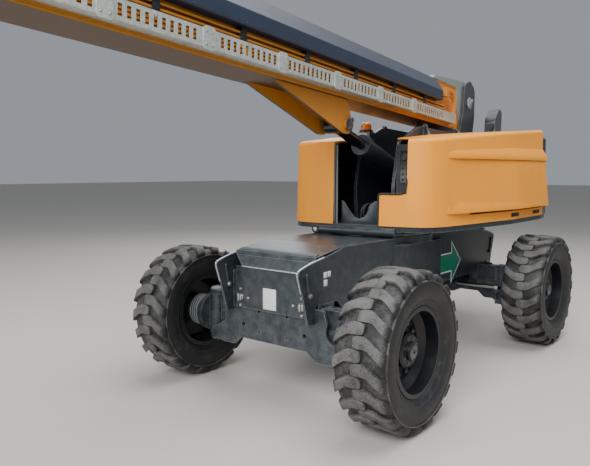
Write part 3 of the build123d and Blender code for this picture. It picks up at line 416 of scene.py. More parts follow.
def sheetOf(points, thick, edge=0.0):
    # a plate of that outline on the xy plane, standing up by its thickness
    piece = drawLine(points)
    bpy.ops.mesh.edge_face_add()
    drawnOut((0, 0, thick))
    outwards(piece)
    return softened(piece, edge) if edge else piece


def spun(profile, steps):
    # a closed profile (radius, height) turned about z
    piece = drawLine(profile)
    bpy.ops.mesh.select_all(action="SELECT")
    bpy.ops.transform.rotate(value=math.radians(-90), orient_axis="X", center_override=(0, 0, 0))
    bpy.ops.mesh.spin(steps=steps, angle=2 * math.pi, center=(0, 0, 0), axis=(0, 0, 1))
    return outwards(piece)


def twinOf(piece):
    # a copy with a mesh of its own
    twin = piece.copy()
    twin.data = piece.data.copy()
    bpy.context.scene.collection.objects.link(twin)
    return twin


def joined(parts):
    deselect()
    for part in parts:
        part.select_set(True)
    bpy.context.view_layer.objects.active = parts[0]
    bpy.ops.object.join()
    return settle(bpy.context.object)


def copied(piece, places):
    # one copy at each place, all joined into one piece
    made = []
    for place in places:
        twin = twinOf(piece)
        twin.matrix_world = place
        made.append(twin)
    bpy.data.objects.remove(piece)
    return joined(made)


def hose(points, radius, sides=10):
    # a round hose or pipe along a smooth path, closed at its ends
    deselect()
    bpy.ops.curve.primitive_nurbs_path_add()
    piece = bpy.context.object
    line = piece.data.splines[0]
    line.points.add(max(len(points) - len(line.points), 0))
    spare = len(line.points) - len(points)
    for index, point in enumerate(line.points):
        point.co = (*points[max(index - spare, 0)], 1)
    line.order_u, line.use_endpoint_u, line.resolution_u = 3, True, 6
    piece.data.bevel_depth, piece.data.bevel_resolution = radius, max(sides // 4, 1)
    piece.data.use_fill_caps = True
    bpy.ops.object.convert(target="MESH")
    return smoothed(settle(piece), 50)


def dressed(piece, name, body, material, place=None, replaced=()):
    # name, finish and body of a piece that is done
    piece.name = name
    piece.data.name = name
    if place is not None:
        settle(piece, place)
    piece.data.materials.clear()
    piece.data.materials.append(material)
    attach(piece, body)
    if replaced:
        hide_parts(*replaced)
    return piece


def onEachWheel(piece, name, body, material, turned, inward=0.0, replaced=None):
    # one copy at each wheel's centre, turned round on the wheels whose name holds that word
    for wheel in wheels:
        centre = Matrix.Translation(joints[wheel + "_wheel_spin"]["pos_m"])
        turn = Matrix.Rotation(math.pi if turned in wheel else 0.0, 4, "Z")
        dressed(twinOf(piece), wheel + name, wheel + body, material,
                centre @ turn @ Matrix.Translation((0, -inward, 0)),
                replaced=[wheel + replaced] if replaced else ())
    bpy.data.objects.remove(piece)


def smoothShell(node, body, material):
    # a merged copy of a moulded or cast node, smooth over its rounded corners and flat on its faces
    shell = smoothed(outwards(settle(twinOf(frame["nodes"][node]))), 34)
    even = shell.modifiers.new("even", "WEIGHTED_NORMAL")
    even.keep_sharp = True
    bpy.ops.object.modifier_apply(modifier="even")
    return dressed(shell, node + "_shell", body, material, replaced=[node])


def swept(section, path):
    # a section of (across, height) drawn out along (forward, across) points
    piece = drawLine(section)
    bpy.ops.mesh.edge_face_add()
    openUp(settle(piece, onWall((*path[0], 0))))
    for start, end in zip(path, path[1:]):
        drawnOut((end[0] - start[0], end[1] - start[1], 0))
    return smoothed(outwards(piece), 34)


def onWall(point, right=(0, 1, 0), up=(0, 0, 1)):
    # a place whose x runs along right and whose y runs along up, as on a wall that looks forward
    right, up = Vector(right).normalized(), Vector(up).normalized()
    axes = Matrix((right, up, right.cross(up))).transposed().to_4x4()
    return Matrix.Translation(point) @ axes


def facing(point, direction, turn=0.0):
    # a place at a point whose z looks along the direction
    aim = Vector(direction).to_track_quat("Z", "Y").to_matrix().to_4x4()
    return Matrix.Translation(point) @ aim @ Matrix.Rotation(turn, 4, "Z")


def onBothSides(x, y, z, turn):
    # a place on the left and one on the right, each looking away from the middle
    return [facing((x, side * y, z), (0, side, 0), turn) for side in (-1, 1)]


def inRing(count, circle, height, start=0.0):
    # places on a circle round the z axis
    return [Matrix.Rotation(2 * math.pi / count * index + start, 4, "Z")
            @ Matrix.Translation((circle, 0, height)) for index in range(count)]


# frames of the chassis, the turret and the boom, each with x forward, y to the left and z up
heading = Vector(joints["fly_1_extend"]["axis"])
sideways = -Vector(joints["boom_lift"]["axis"])
chassisFrame = Matrix.Translation((slewAxis.x, slewAxis.y, 0))
slewTurn = math.atan2(heading.y, heading.x)
turretFrame = chassisFrame @ Matrix.Rotation(slewTurn, 4, "Z")
boomAxes = Matrix((heading, sideways, heading.cross(sideways))).transposed().to_4x4()
boomFrame = Matrix.Translation(joints["boom_lift"]["pos_m"]) @ boomAxes
mirror = Matrix.Scale(-1, 4, (0, 1, 0))

# tyres: the closed carcass is spun, one lug is drawn out from the middle of the tread over the
# shoulder, and its copies go round both halves
tyre = {"lugs": 20, "steps": 96, "reach": 0.5355, "stand": 0.5336, "lead": 0.048, "lugEdge": 0.005,
        "tread": 0.506, "lugRise": 0.024, "ringRadius": 0.468, "ringSide": 0.186}
wall = [(0.2855, 0.139), (0.299, 0.1405), (0.303, 0.150), (0.311, 0.158), (0.325, 0.168), (0.338, 0.175),
        (0.341, 0.179), (0.347, 0.179), (0.350, 0.178), (0.372, 0.186), (0.400, 0.190), (0.428, 0.189),
        (0.452, 0.184), (0.461, 0.183), (0.465, 0.190), (0.4705, 0.190), (0.475, 0.179), (0.490, 0.168),
        (0.500, 0.150), (0.505, 0.110), (0.506, 0.050)]
# (across, lead, width, foot radius, top radius) of the lug's sections
lugStations = [(-0.034, -0.030, 0.040, 0.490, 0.524), (-0.026, -0.031, 0.066, 0.490, 0.531),
               (0.004, -0.033, 0.080, 0.490, 0.535), (0.048, -0.034, 0.078, 0.490, 0.535),
               (0.078, -0.026, 0.070, 0.488, 0.535), (0.126, 0.006, 0.070, 0.484, 0.533),
               (0.156, 0.026, 0.076, 0.478, 0.528), (0.176, 0.040, 0.080, 0.472, 0.514),
               (0.187, 0.047, 0.078, 0.470, 0.498), (0.191, 0.050, 0.070, 0.472, 0.490)]
# no corner of a section stands out beyond the tyre's reach
lugStations = [(across, lead, width, foot,
                min(top, math.sqrt(tyre["reach"] ** 2 - (abs(lead) + width / 2) ** 2)))
               for across, lead, width, foot, top in lugStations]


def treadLug():
    across, lead, width, foot, top = lugStations[0]
    deselect()
    bpy.ops.mesh.primitive_plane_add(size=1, rotation=(math.radians(90), 0, 0),
                                     location=(lead, across, (foot + top) / 2))
    piece = bpy.context.object
    piece.scale = (width, top - foot, 1)
    openUp(settle(piece))
    for last, new in zip(lugStations, lugStations[1:]):
        middle, before = (new[3] + new[4]) / 2, (last[3] + last[4]) / 2
        drawnOut((new[1] - last[1], new[0] - last[0], middle - before))
        bpy.ops.transform.resize(value=(new[2] / last[2], 1, (new[4] - new[3]) / (last[4] - last[3])),
                                 center_override=(new[1], new[0], middle))
    return softened(outwards(piece), tyre["lugEdge"], angle=40)


def wholeTyre():
    profile = wall + [(radius, -across) for radius, across in reversed(wall)]
    carcass = smoothed(settle(spun(profile, tyre["steps"]), Matrix.Rotation(math.radians(90), 4, "X")), 30)
    lug = treadLug()
    pitch = 2 * math.pi / tyre["lugs"]
    # one lug stands on the ground with its leading corner, as the source's tyre does
    start = math.atan2(tyre["lead"], tyre["stand"])
    places = []
    for index in range(tyre["lugs"]):
        places.append(Matrix.Rotation(start + pitch * index, 4, "Y"))
        places.append(Matrix.Rotation(start + pitch * (index + 0.5), 4, "Y") @ mirror)
    return joined([carcass, smoothed(outwards(copied(lug, places)))])


def markTread(piece):
    # how much soil each point holds: most on the lugs' tops, a little on the ridge rings
    values = piece.data.attributes.new("tread", "FLOAT", "POINT")
    for point, value in zip(piece.data.vertices, values.data):
        radius, side = math.hypot(point.co.x, point.co.z), abs(point.co.y)
        top = min(max((radius - tyre["tread"]) / tyre["lugRise"], 0), 1)
        ring = 0.85 if abs(radius - tyre["ringRadius"]) < 0.004 and side > tyre["ringSide"] else 0.0
        groove = 0.35 if radius > 0.480 and side < 0.175 else 0.0
        value.value = max(top, ring, groove)


tyreModel = wholeTyre()
markTread(tyreModel)
# the lugs' V points up at the front, and on the rear axle at the back
onEachWheel(tyreModel, "_lugged_tyre", "_wheel", rubber, turned="rear", replaced="_tyre")
print("tyres made")


def bolt(radius=0.009, head=0.008, washer=0.0):
    # a hexagon head on its washer, drawn along z
    piece = lathe([(-0.001, radius), (head * 0.85, radius), (head, radius * 0.86)], sides=6)
    if washer:
        ring = lathe([(-0.001, washer), (0.002, washer), (0.0026, washer * 0.93)], sides=20)
        piece = joined([piece, ring])
    return piece


def plateOf(wide, high, thick, edge=0.0):
    # a rectangular plate round the origin
    x, y = wide / 2, high / 2
    return sheetOf([(-x, -y), (x, -y), (x, y), (-x, y)], thick, edge)


def panned(plate, rim, depth):
    # the plate's upper face sunk inside a rim
    pickFaces(plate, lambda middle, normal: normal.z > 0.9)
    bpy.ops.mesh.inset(thickness=rim)
    drawnOut((0, 0, -depth))
    deselect()
    return plate


def toggleSwitch(foot, collar):
    # a small lever in its threaded collar
    return joined([lathe([(foot, 0.009), (collar, 0.009), (collar + 0.0005, 0.006)], sides=16),
                   lathe([(collar, 0.0028), (collar + 0.014, 0.0036), (collar + 0.018, 0.0030)], sides=12)])


def mirroredY(places):
    return places + [mirror @ place for place in places]


def bothEnds(places):
    return places + [Matrix.Rotation(math.pi, 4, "Z") @ place for place in places]


def onRightSide(piece):
    # the mirror image of a left-hand piece
    return outwards(settle(piece, mirror))


def aroundWheel(count, circle, face, turn=0.0, twist=0.0):
    # places on a circle round the wheel's axis, looking out along it
    step = 2 * math.pi / count
    return [Matrix.Rotation(step * (index + turn), 4, "Y")
            @ facing((circle, face, 0), (0, 1, 0), index * twist) for index in range(count)]


# the front end as drawn, and the rear end turned half round
ends = bothEnds([Matrix.Identity(4)])

# wheel fittings: ten nuts on their studs, the hub's bolts and domed cap, and the tyre valve
fittings = {"nuts": 10, "nutCircle": 0.168, "disc": 0.010, "hubBolts": 8, "hubCircle": 0.084,
            "hubFace": 0.0835, "capSeat": 0.1055,
            "valve": [(0.246, 0.040, 0), (0.246, 0.068, 0), (0.240, 0.090, 0.006), (0.232, 0.108, 0.010)]}
nut = lathe([(0.0, 0.021), (0.004, 0.021), (0.0041, 0.0185), (0.021, 0.0185), (0.0235, 0.0150)], sides=6)
stud = lathe([(0.0, 0.0088), (0.030, 0.0088), (0.032, 0.0068)], sides=12)
nuts = copied(joined([nut, stud]),
              aroundWheel(fittings["nuts"], fittings["nutCircle"], fittings["disc"], twist=0.7))
hubBolts = copied(bolt(0.0075, 0.007, 0.0105),
                  aroundWheel(fittings["hubBolts"], fittings["hubCircle"], fittings["hubFace"], turn=0.5))
cap = lathe([(0.0, 0.052), (0.006, 0.052), (0.010, 0.046), (0.012, 0.030), (0.0121, 0.014), (0.020, 0.013),
             (0.022, 0.010)], sides=32)
settle(cap, facing((0, fittings["capSeat"], 0), (0, 1, 0)))
onEachWheel(joined([nuts, hubBolts, cap, hose(fittings["valve"], 0.004)]), "_nuts_and_cap", "_wheel",
            bearingSteel, turned="right")
print("wheel fittings made")

# blank label on the front panel
frontPanel = {"face": 1.5349, "label": (-0.0025, 0.7585), "size": (0.127, 0.157)}
dressed(plateOf(*frontPanel["size"], 0.0016, 0.0005), "front_label", "chassis", whiteVinyl,
        chassisFrame @ onWall((frontPanel["face"], *frontPanel["label"])))

# three small blank plates on the left side plate, each (x, z, width, height)
sidePlate = {"face": 0.3999, "labels": [(1.390, 0.965, 0.042, 0.042), (1.344, 0.968, 0.036, 0.040),
                                        (1.388, 0.908, 0.042, 0.046)]}
labels = [settle(plateOf(wide, high, 0.0012, 0.0004),
                 onWall((x, sidePlate["face"], z), (-1, 0, 0)))
          for x, z, wide, high in sidePlate["labels"]]
dressed(joined(labels), "side_labels", "chassis", whiteVinyl, chassisFrame)

# green arrow with a pale outline on the left side plate, its lengths measured back from the slewing axis
arrow = {"tail": 0.41, "neck": 0.66, "tip": 0.84, "middle": 0.83, "shaft": 0.080, "head": 0.180,
         "outline": 0.014, "outlineRise": 0.0010, "rise": 0.0017}
for name, grow, rise, finish, slot in (
        ("side_arrow_outline", arrow["outline"], arrow["outlineRise"], whiteVinyl, "galvanised"),
        ("side_arrow", 0.0, arrow["rise"], greenVinyl, "black_plastic")):
    tail, neck, tip = arrow["tail"] - grow, arrow["neck"] - grow, arrow["tip"] + grow * 1.5
    shaft, head = arrow["shaft"] + grow, arrow["head"] + grow * 1.9
    corners = [(tail, -shaft), (neck, -shaft), (neck, -head), (tip, 0.0), (neck, head), (neck, shaft),
               (tail, shaft)]
    dressed(sheetOf(corners, rise), name, "chassis", finish,
            chassisFrame @ onWall((0, sidePlate["face"], arrow["middle"]), (-1, 0, 0)))

# bolts of the cover flanges, ears, latches and side plates, and the quarter-turn latches' plated grips
fixings = {"flange": (1.5236, 1.006), "flangeNormal": (0.888, 0, 0.460),
           "flangeAcross": (-0.24, -0.048, -0.018, 0.24), "coverCorner": (1.30, 0.34, 1.1145),
           "ear": (1.580, 0.840), "earFaces": ((0.4135, 1), (0.3715, -1)), "panel": 1.5345,
           "latch": (0.300, 0.742), "latchBolts": ((0, 0.062), (0, -0.062), (-0.08, 0)),
           "sideFace": 0.3995, "sideHeight": 0.700, "sideAlong": (0.20, 0.36, -0.12)}
x, z = fixings["flange"]
places = [facing((x, y, z), fixings["flangeNormal"]) for y in fixings["flangeAcross"]]
x, y, z = fixings["coverCorner"]
places += [facing((x, side * y, z), (0.15, 0, 1)) for side in (-1, 1)]
coverBolts = copied(bolt(0.0075, 0.005, 0.012), bothEnds(places))
x, z = fixings["ear"]
places = [facing((x, y, z), (0, way, 0), 0.3) for y, way in fixings["earFaces"]]
earBolts = copied(bolt(0.015, 0.012, 0.021), bothEnds(mirroredY(places)))
y, z = fixings["latch"]
places = [facing((fixings["panel"], side * (y + across), z + up), (1, 0, 0))
          for side in (-1, 1) for across, up in fixings["latchBolts"]]
latchBolts = copied(bolt(0.006, 0.005, 0.010), bothEnds(places))
places = [facing((x, fixings["sideFace"], fixings["sideHeight"]), (0, 1, 0)) for x in fixings["sideAlong"]]
plateBolts = copied(bolt(0.010, 0.008, 0.015), bothEnds(mirroredY(places)))
collar = lathe([(0.0, 0.029), (0.004, 0.029), (0.006, 0.026), (0.016, 0.025), (0.019, 0.020)], sides=28)
grip = slab((-0.0085, -0.0245, 0.0145), (0.0085, 0.0245, 0.0275), 0.004)
places = [onWall((fixings["panel"], side * y, z)) for side in (-1, 1)]
latches = copied(joined([collar, grip]), bothEnds(places))
chassisBolts = outwards(joined([coverBolts, earBolts, latchBolts, plateBolts, latches]))
dressed(chassisBolts, "chassis_bolts", "chassis", boltZinc, chassisFrame)

# each end cover's rounded fold: a strip along the (x, z) points, sunk a little into the cover
coverFold = {"half": 0.368, "proud": 0.0040, "thinner": 0.0015, "forward": 0.0045, "sunk": (0.003, 0.004),
             "points": [(1.430, 1.1101), (1.452, 1.1040), (1.468, 1.0985), (1.479, 1.0930),
                        (1.4865, 1.0850), (1.492, 1.0745), (1.500, 1.0590)]}
last = len(coverFold["points"]) - 1
outer = [(x + coverFold["forward"] * index / last,
          z + coverFold["proud"] - coverFold["thinner"] * index / last)
         for index, (x, z) in enumerate(coverFold["points"])]
inner = [(x - coverFold["sunk"][0], z - coverFold["sunk"][1]) for x, z in reversed(coverFold["points"])]
bend = sheetOf(outer + inner, 2 * coverFold["half"])
settle(bend, onWall((0, coverFold["half"], 0), (1, 0, 0)))
dressed(copied(smoothed(bend, 30), ends), "cover_folds", "chassis", framePaint, chassisFrame)

# pale rolled lip over the panel, and the ears' rounded edges along their (x, z) points: worn steel and a
# painted highlight
edges = {"lip": (1.5420, 0.268, 0.9815), "lipRadius": 0.0060, "earSide": 0.3925, "earRadius": 0.0085,
         "ear": [(1.400, 1.0885), (1.480, 1.0755), (1.560, 1.0605), (1.655, 1.0345), (1.690, 1.0235),
                 (1.700, 1.0090), (1.6975, 0.9890), (1.678, 0.9300), (1.658, 0.8700)]}
x, y, z = edges["lip"]
rounds = [hose([(x, -y, z), (x, 0.0, z), (x, y, z)], edges["lipRadius"], 12)]
rounds += [hose([(x, side * edges["earSide"], z) for x, z in edges["ear"]], edges["earRadius"], 12)
           for side in (-1, 1)]
dressed(copied(joined(rounds), ends), "worn_edges_and_highlight", "chassis", wornEdgeAndHighlight, chassisFrame)

# cooling ribs round each knuckle's brake housing, in pale grey-green that also stands for the highlight
# stripes there (painted highlight)
ribs = {"first": 0.104, "pitch": 0.024, "count": 5, "inward": 0.2775}
rib = lathe([(0.0, 0.119), (0.0005, 0.127), (0.002, 0.1285), (0.006, 0.1285), (0.0075, 0.127),
             (0.008, 0.119)], sides=56)
ribSet = copied(rib, [facing((0, ribs["first"] + ribs["pitch"] * index, 0), (0, 1, 0))
                      for index in range(ribs["count"])])
onEachWheel(ribSet, "_brake_ribs", "_knuckle", castPaint, turned="right",
            inward=ribs["inward"])

# caps and grease nipples on the kingpins, over and under each yoke
kingpin = {"x": 1.375, "y": 0.715, "axle": 0.536, "reach": 0.200, "bolts": 4, "boltCircle": 0.036}
cap = lathe([(0.0, 0.052), (0.010, 0.052), (0.014, 0.046), (0.0141, 0.014), (0.020, 0.012), (0.021, 0.004),
             (0.030, 0.0035)], sides=28)
capBolts = copied(bolt(0.006, 0.005), inRing(kingpin["bolts"], kingpin["boltCircle"], 0.0135, 0.78))
places = [facing((kingpin["x"], kingpin["y"], kingpin["axle"] + way * kingpin["reach"]), (0, 0, way))
          for way in (1, -1)]
caps = outwards(copied(joined([cap, capBolts]), bothEnds(mirroredY(places))))
dressed(caps, "kingpin_caps", "chassis", castPaint, chassisFrame)

# hoses from each steering cylinder up into the frame, with their crimped ends
steering = {"radius": 0.009, "route": [(1.175, 0.205, 0.568), (1.172, 0.210, 0.610), (1.160, 0.235, 0.668),
                                       (1.125, 0.262, 0.706), (1.060, 0.275, 0.716), (0.985, 0.275, 0.712)]}
hoses = []
for side in (-1, 1):
    route = [(x, side * y, z) for x, y, z in steering["route"]]
    crimp = lathe([(0, 0.012), (0.030, 0.012), (0.034, 0.010)], sides=16)
    hoses += [hose(route, steering["radius"], 12), settle(crimp, facing(route[0], (0, 0, 1)))]
dressed(copied(joined(hoses), ends), "steering_hoses", "chassis", hoseRubber, chassisFrame)
print("chassis pieces made")

# rubber trim on the hoods' open edges along the boom well, each edge from (foot, top) measured forward
trim = {"across": 0.2135, "radius": 0.0055, "left": (0.128, 0.116), "right": (0.482, 0.468)}
for side, name in ((1, "left"), (-1, "right")):
    foot, top = trim[name]
    y = side * trim["across"]
    route = [(foot, y, 1.262), (foot - 0.004, y, 1.50), (foot - 0.010, y, 1.85), (top, y, 1.95)]
    dressed(hose(route, trim["radius"]), name + "_hood_trim", name + "_hood", trimRubber,
            turretFrame)

# post inside the right hood's open edge, and the seal round the notch in the left hood
well = {"postLow": (0.452, -0.2115, 1.2452), "postHigh": (0.459, -0.192, 1.925), "sealRadius": 0.0085,
        "seal": [(0.400, 0.461, 1.952), (0.440, 0.461, 1.755), (0.486, 0.461, 1.560), (0.490, 0.440, 1.513),
                 (0.492, 0.300, 1.512), (0.495, 0.2180, 1.512), (0.497, 0.2170, 1.480),
                 (0.499, 0.2170, 1.250)]}
dressed(slab(well["postLow"], well["postHigh"], 0.001), "well_edge_post", "turret", castPaint,
        turretFrame)
dressed(hose(well["seal"], well["sealRadius"], 12), "left_hood_notch_seal", "left_hood", hoseRubber,
        turretFrame)

# plug with a plated ring at the far end of the tube under the deck
tubeEnd = facing((0.516, -0.372, 1.193), (1, 0, 0))
plug = lathe([(0.0, 0.037), (0.016, 0.037), (0.020, 0.033), (0.0205, 0.012)], sides=32)
dressed(settle(plug, tubeEnd), "deck_tube_plug", "turret", blackCover, turretFrame)
ring = lathe([(0.018, 0.017), (0.0235, 0.017), (0.0240, 0.009), (0.0215, 0.0085)], sides=28)
dressed(settle(ring, tubeEnd), "deck_tube_ring", "turret", boltZinc, turretFrame)

# hoods and counterweight smooth over their rounded corners, with the hoods' hinge eyes in grey
hingeEye = {"across": 0.262, "above": 2.062}
inTurret = turretFrame.inverted()


def isHingeEye(middle, normal):
    place = inTurret @ middle
    return abs(place.y) < hingeEye["across"] and place.z > hingeEye["above"]


for name in ("left_hood", "right_hood"):
    shell = smoothShell(name, name, gelCoat)
    pickFaces(shell, isHingeEye)
    bpy.ops.mesh.separate(type="SELECTED")
    eyes = next(piece for piece in bpy.context.selected_objects if piece != shell)
    dressed(eyes, name + "_hinge_eyes", name, framePaint)
smoothShell("counterweight", "turret", framePaint)

# moulded ledges round the hoods, each a (across, height) section and its (forward, across) path: one
# over the belt, whose underside throws the dark line along the side, and one along the belt's lower
# edge; both start at the front corner and grow to the rear
ledges = {
    "upper": ([(0.0, 1.803), (0.003, 1.813), (-0.006, 1.853), (-0.050, 1.925), (-0.075, 1.925),
               (-0.075, 1.803)],
              [(0.245, 0.708), (0.205, 0.7290), (0.100, 0.7600), (-0.832, 0.9875), (-1.6985, 1.0735)]),
    "lower": ([(0.0, 1.346), (0.002, 1.354), (-0.010, 1.400), (-0.026, 1.455), (-0.060, 1.455),
               (-0.060, 1.346)],
              [(0.300, 0.694), (0.245, 0.7340), (0.100, 0.7880), (-0.832, 1.0185), (-1.450, 1.0760),
               (-1.6985, 1.0955)]),
}
for name in ("left_hood", "right_hood"):
    piece = joined([swept(section, path) for section, path in ledges.values()])
    if name == "right_hood":
        onRightSide(piece)
    dressed(piece, name + "_ledges", name, gelCoat, turretFrame)

# flush latches low in the hoods' side walls: a dark tray with a paddle in it
latch = {"wide": 0.190, "high": 0.034, "rim": 0.004, "depth": 0.0028, "along": (-0.905, -1.500), "z": 1.288,
         "sunk": 0.0011}
wallFront, wallRear = (-0.832, 0.962), (-1.700, 1.042)
slant = (wallRear[1] - wallFront[1]) / (wallFront[0] - wallRear[0])
for name in ("left", "right"):
    made = []
    for u in latch["along"]:
        pan = panned(plateOf(latch["wide"], latch["high"], 0.004, 0.0015), latch["rim"], latch["depth"])
        half, tall = latch["wide"] * 0.31, latch["high"] * 0.3
        paddle = slab((-half, -tall, 0.001), (half, tall, 0.0055), 0.0015)
        v = wallFront[1] + slant * (wallFront[0] - u) - latch["sunk"]
        made.append(settle(joined([pan, paddle]),
                           onWall((u, v, latch["z"]), (-0.996, 0.092, 0), (-0.0024, -0.026, 1.0))))
    piece = joined(made)
    if name == "right":
        onRightSide(piece)
    dressed(piece, name + "_hood_latches", name + "_hood", blackCover, turretFrame)

# beacon's black base ring with its screws, over the moulded foot of the dome
beacon = {"place": (-0.150, -0.236, 2.064), "screws": 3, "screwCircle": 0.0578}
ring = lathe([(0.0, 0.0635), (0.018, 0.0635), (0.0215, 0.0600), (0.0222, 0.0530)], sides=40)
screws = copied(bolt(0.004, 0.004), inRing(beacon["screws"], beacon["screwCircle"], 0.0205))
dressed(settle(joined([ring, screws]), Matrix.Translation(beacon["place"])), "beacon_base_ring", "turret",
        blackCover, turretFrame)

# rotary joint under the well's hole, with its hoses back under the lift cylinder
swivel = {"forward": 0.25, "hoses": 5, "pitch": 0.036, "stagger": 0.008, "radius": 0.011}
made = []
for index in range(swivel["hoses"]):
    side = (index - 2) * swivel["pitch"] + swivel["stagger"] * (-1) ** index
    foot = 0.27 - 0.02 * (index % 2)
    crest = 0.012 * (index % 3)
    route = [(foot, side, 1.150), (foot, side, 1.27), (0.255, side * 1.05, 1.365 + crest),
             (0.14, side * 1.15, 1.40 + crest), (-0.02, side * 1.25, 1.37), (-0.25, side * 1.3, 1.305),
             (-0.55, side * 1.3, 1.272), (-0.95, side * 1.25, 1.262)]
    made.append(hose(route, swivel["radius"], 12))
joint = lathe([(1.150, 0.105), (1.215, 0.105), (1.222, 0.098), (1.2225, 0.070), (1.260, 0.068),
               (1.265, 0.060)], sides=36)
made.append(settle(joint, Matrix.Translation((swivel["forward"], 0, 0))))
dressed(joined(made), "rotary_joint_hoses", "turret", hoseRubber, turretFrame)

# guard before the rotary joint, with a round notch over the hoses
guard = {"forward": 0.415, "thick": 0.006, "edge": 0.0015,
         "outline": [(-0.172, 1.2455), (0.172, 1.2455), (0.172, 1.445), (0.150, 1.445), (0.100, 1.405),
                     (0.082, 1.350), (0.045, 1.306), (0.000, 1.290), (-0.045, 1.306), (-0.085, 1.350),
                     (-0.150, 1.440), (-0.172, 1.445)]}
dressed(sheetOf(guard["outline"], guard["thick"], guard["edge"]), "rotary_joint_guard", "turret",
        framePaint, turretFrame @ onWall((guard["forward"], 0, 0)))

# ground controls on the recess's back wall: panel, gauge, emergency stop and toggles
panel = {"place": (0.1419, 0.337, 1.735), "size": (0.180, 0.290), "rim": 0.008, "depth": 0.003,
         "columns": (-0.056, -0.018, 0.020, 0.058), "rows": (-0.105, -0.058, -0.011),
         "gauge": (-0.045, 0.085, 0), "stop": (0.045, 0.085, 0)}
board = panned(plateOf(*panel["size"], 0.012, 0.003), panel["rim"], panel["depth"])
toggles = copied(toggleSwitch(0.008, 0.012),
                 [Matrix.Translation((x, y, 0)) @ Matrix.Rotation(0.2, 4, "X")
                  for x in panel["columns"] for y in panel["rows"]])
gauge = lathe([(0.008, 0.030), (0.020, 0.030), (0.022, 0.027), (0.0185, 0.025)], sides=32)
settle(gauge, Matrix.Translation(panel["gauge"]))
boardPlace = turretFrame @ onWall(panel["place"])
dressed(board, "ground_control_panel", "turret", blackCover, boardPlace)
dressed(joined([toggles, gauge]), "ground_control_switches", "turret", blackCover,
        boardPlace)
stop = lathe([(0.008, 0.012), (0.020, 0.012), (0.0202, 0.021), (0.028, 0.021), (0.033, 0.016),
              (0.0345, 0.006)], sides=28)
dressed(settle(stop, Matrix.Translation(panel["stop"])), "ground_control_stop", "turret", redPlastic,
        boardPlace)
print("turret pieces made")


# keepers over the pins: a disc, a lock plate and its bolts
def pinCap(radius):
    disc = lathe([(0.0, radius), (0.010, radius), (0.013, radius * 0.9), (0.0131, radius * 0.35),
                  (0.016, radius * 0.3)], sides=32)
    bar = slab((-radius * 1.25, -radius * 0.28, 0.010), (radius * 1.25, radius * 0.28, 0.018), 0.002)
    screws = copied(bolt(radius * 0.15, 0.006, radius * 0.2),
                    [Matrix.Translation((x * radius * 0.95, 0, 0.0175)) for x in (-1, 1)])
    return joined([disc, bar, screws])


# where the pins lie: the boom's pivot and the lift cylinder's eye in the turret, and the jib's feet
pins = {"pivot": (-1.8, 0.1995, 2.45), "liftEye": (0.860, 0, 2.060), "liftSide": 0.1378, "jibSide": 0.1278}
pivotCaps = copied(pinCap(0.066), onBothSides(*pins["pivot"], 0.5))
dressed(pivotCaps, "boom_pivot_caps", "turret", castPaint, turretFrame)
liftEye = boomFrame.inverted() @ (turretFrame @ Vector(pins["liftEye"]))
eyeCaps = copied(pinCap(0.050), onBothSides(liftEye.x, pins["liftSide"], liftEye.z, 0.9))
dressed(eyeCaps, "lift_eye_caps", "boom", cylinderPaint, boomFrame)
footCaps = copied(pinCap(0.022), onBothSides(0, pins["jibSide"], 0, 1.2))
for name, body in (("jib_lift", "jib_upper"), ("jib_lower_swing", "jib_lower"),
                   ("jib_head_level", "jib_head")):
    place = Matrix.Translation(joints[name]["pos_m"]) @ Matrix.Rotation(slewTurn, 4, "Z")
    dressed(twinOf(footCaps), name + "_pin_caps", body, boltZinc, place)
bpy.data.objects.remove(footCaps)

# screws in the tray's pads and the uprights' feet
tray = {"pads": 8, "first": 1.636, "pitch": 0.690, "face": 0.2477, "level": -0.232, "spread": (0.026, 0.034),
        "uprightBack": 0.345, "uprightFace": 0.2035, "footLevel": -0.196}
padPlaces = [tray["first"] + tray["pitch"] * index for index in range(tray["pads"])]
dx, dz = tray["spread"]
places = [facing((x + right * dx, tray["face"], tray["level"] + up * dz), (0, 1, 0), right * dx * 40)
          for x in padPlaces for right, up in ((-1, 1), (1, 1), (-1, -1), (1, -1))]
padScrews = copied(bolt(0.0048, 0.004, 0.0075), places)
places = [facing((x - tray["uprightBack"], tray["uprightFace"], tray["footLevel"]), (0, 1, 0))
          for x in padPlaces]
uprightScrews = copied(bolt(0.0055, 0.005, 0.0085), places)
dressed(joined([padScrews, uprightScrews]), "tray_screws", "boom", boltZinc, boomFrame)

# screws along the lower edge of the moulded cover over the hose chain
coverScrews = {"count": 14, "first": 0.99, "pitch": 0.44, "face": 0.2397, "level": -0.078}
places = [facing((coverScrews["first"] + coverScrews["pitch"] * index, coverScrews["face"],
                  coverScrews["level"]), (0, 1, 0)) for index in range(coverScrews["count"])]
dressed(copied(bolt(0.006, 0.004, 0.009), places), "chain_cover_screws", "boom", navyCover,
        boomFrame)

# black clamps that hold the pipes on their uprights
clamp = {"half": 0.024, "inner": 0.1600, "outer": 0.2068, "low": -0.1815, "high": -0.0900}
clamps = []
for x in padPlaces:
    middle = x - tray["uprightBack"]
    clamps.append(slab((middle - clamp["half"], clamp["inner"], clamp["low"]),
                       (middle + clamp["half"], clamp["outer"], clamp["high"]), 0.003))
dressed(joined(clamps), "pipe_clamps", "boom", blackCover, boomFrame)

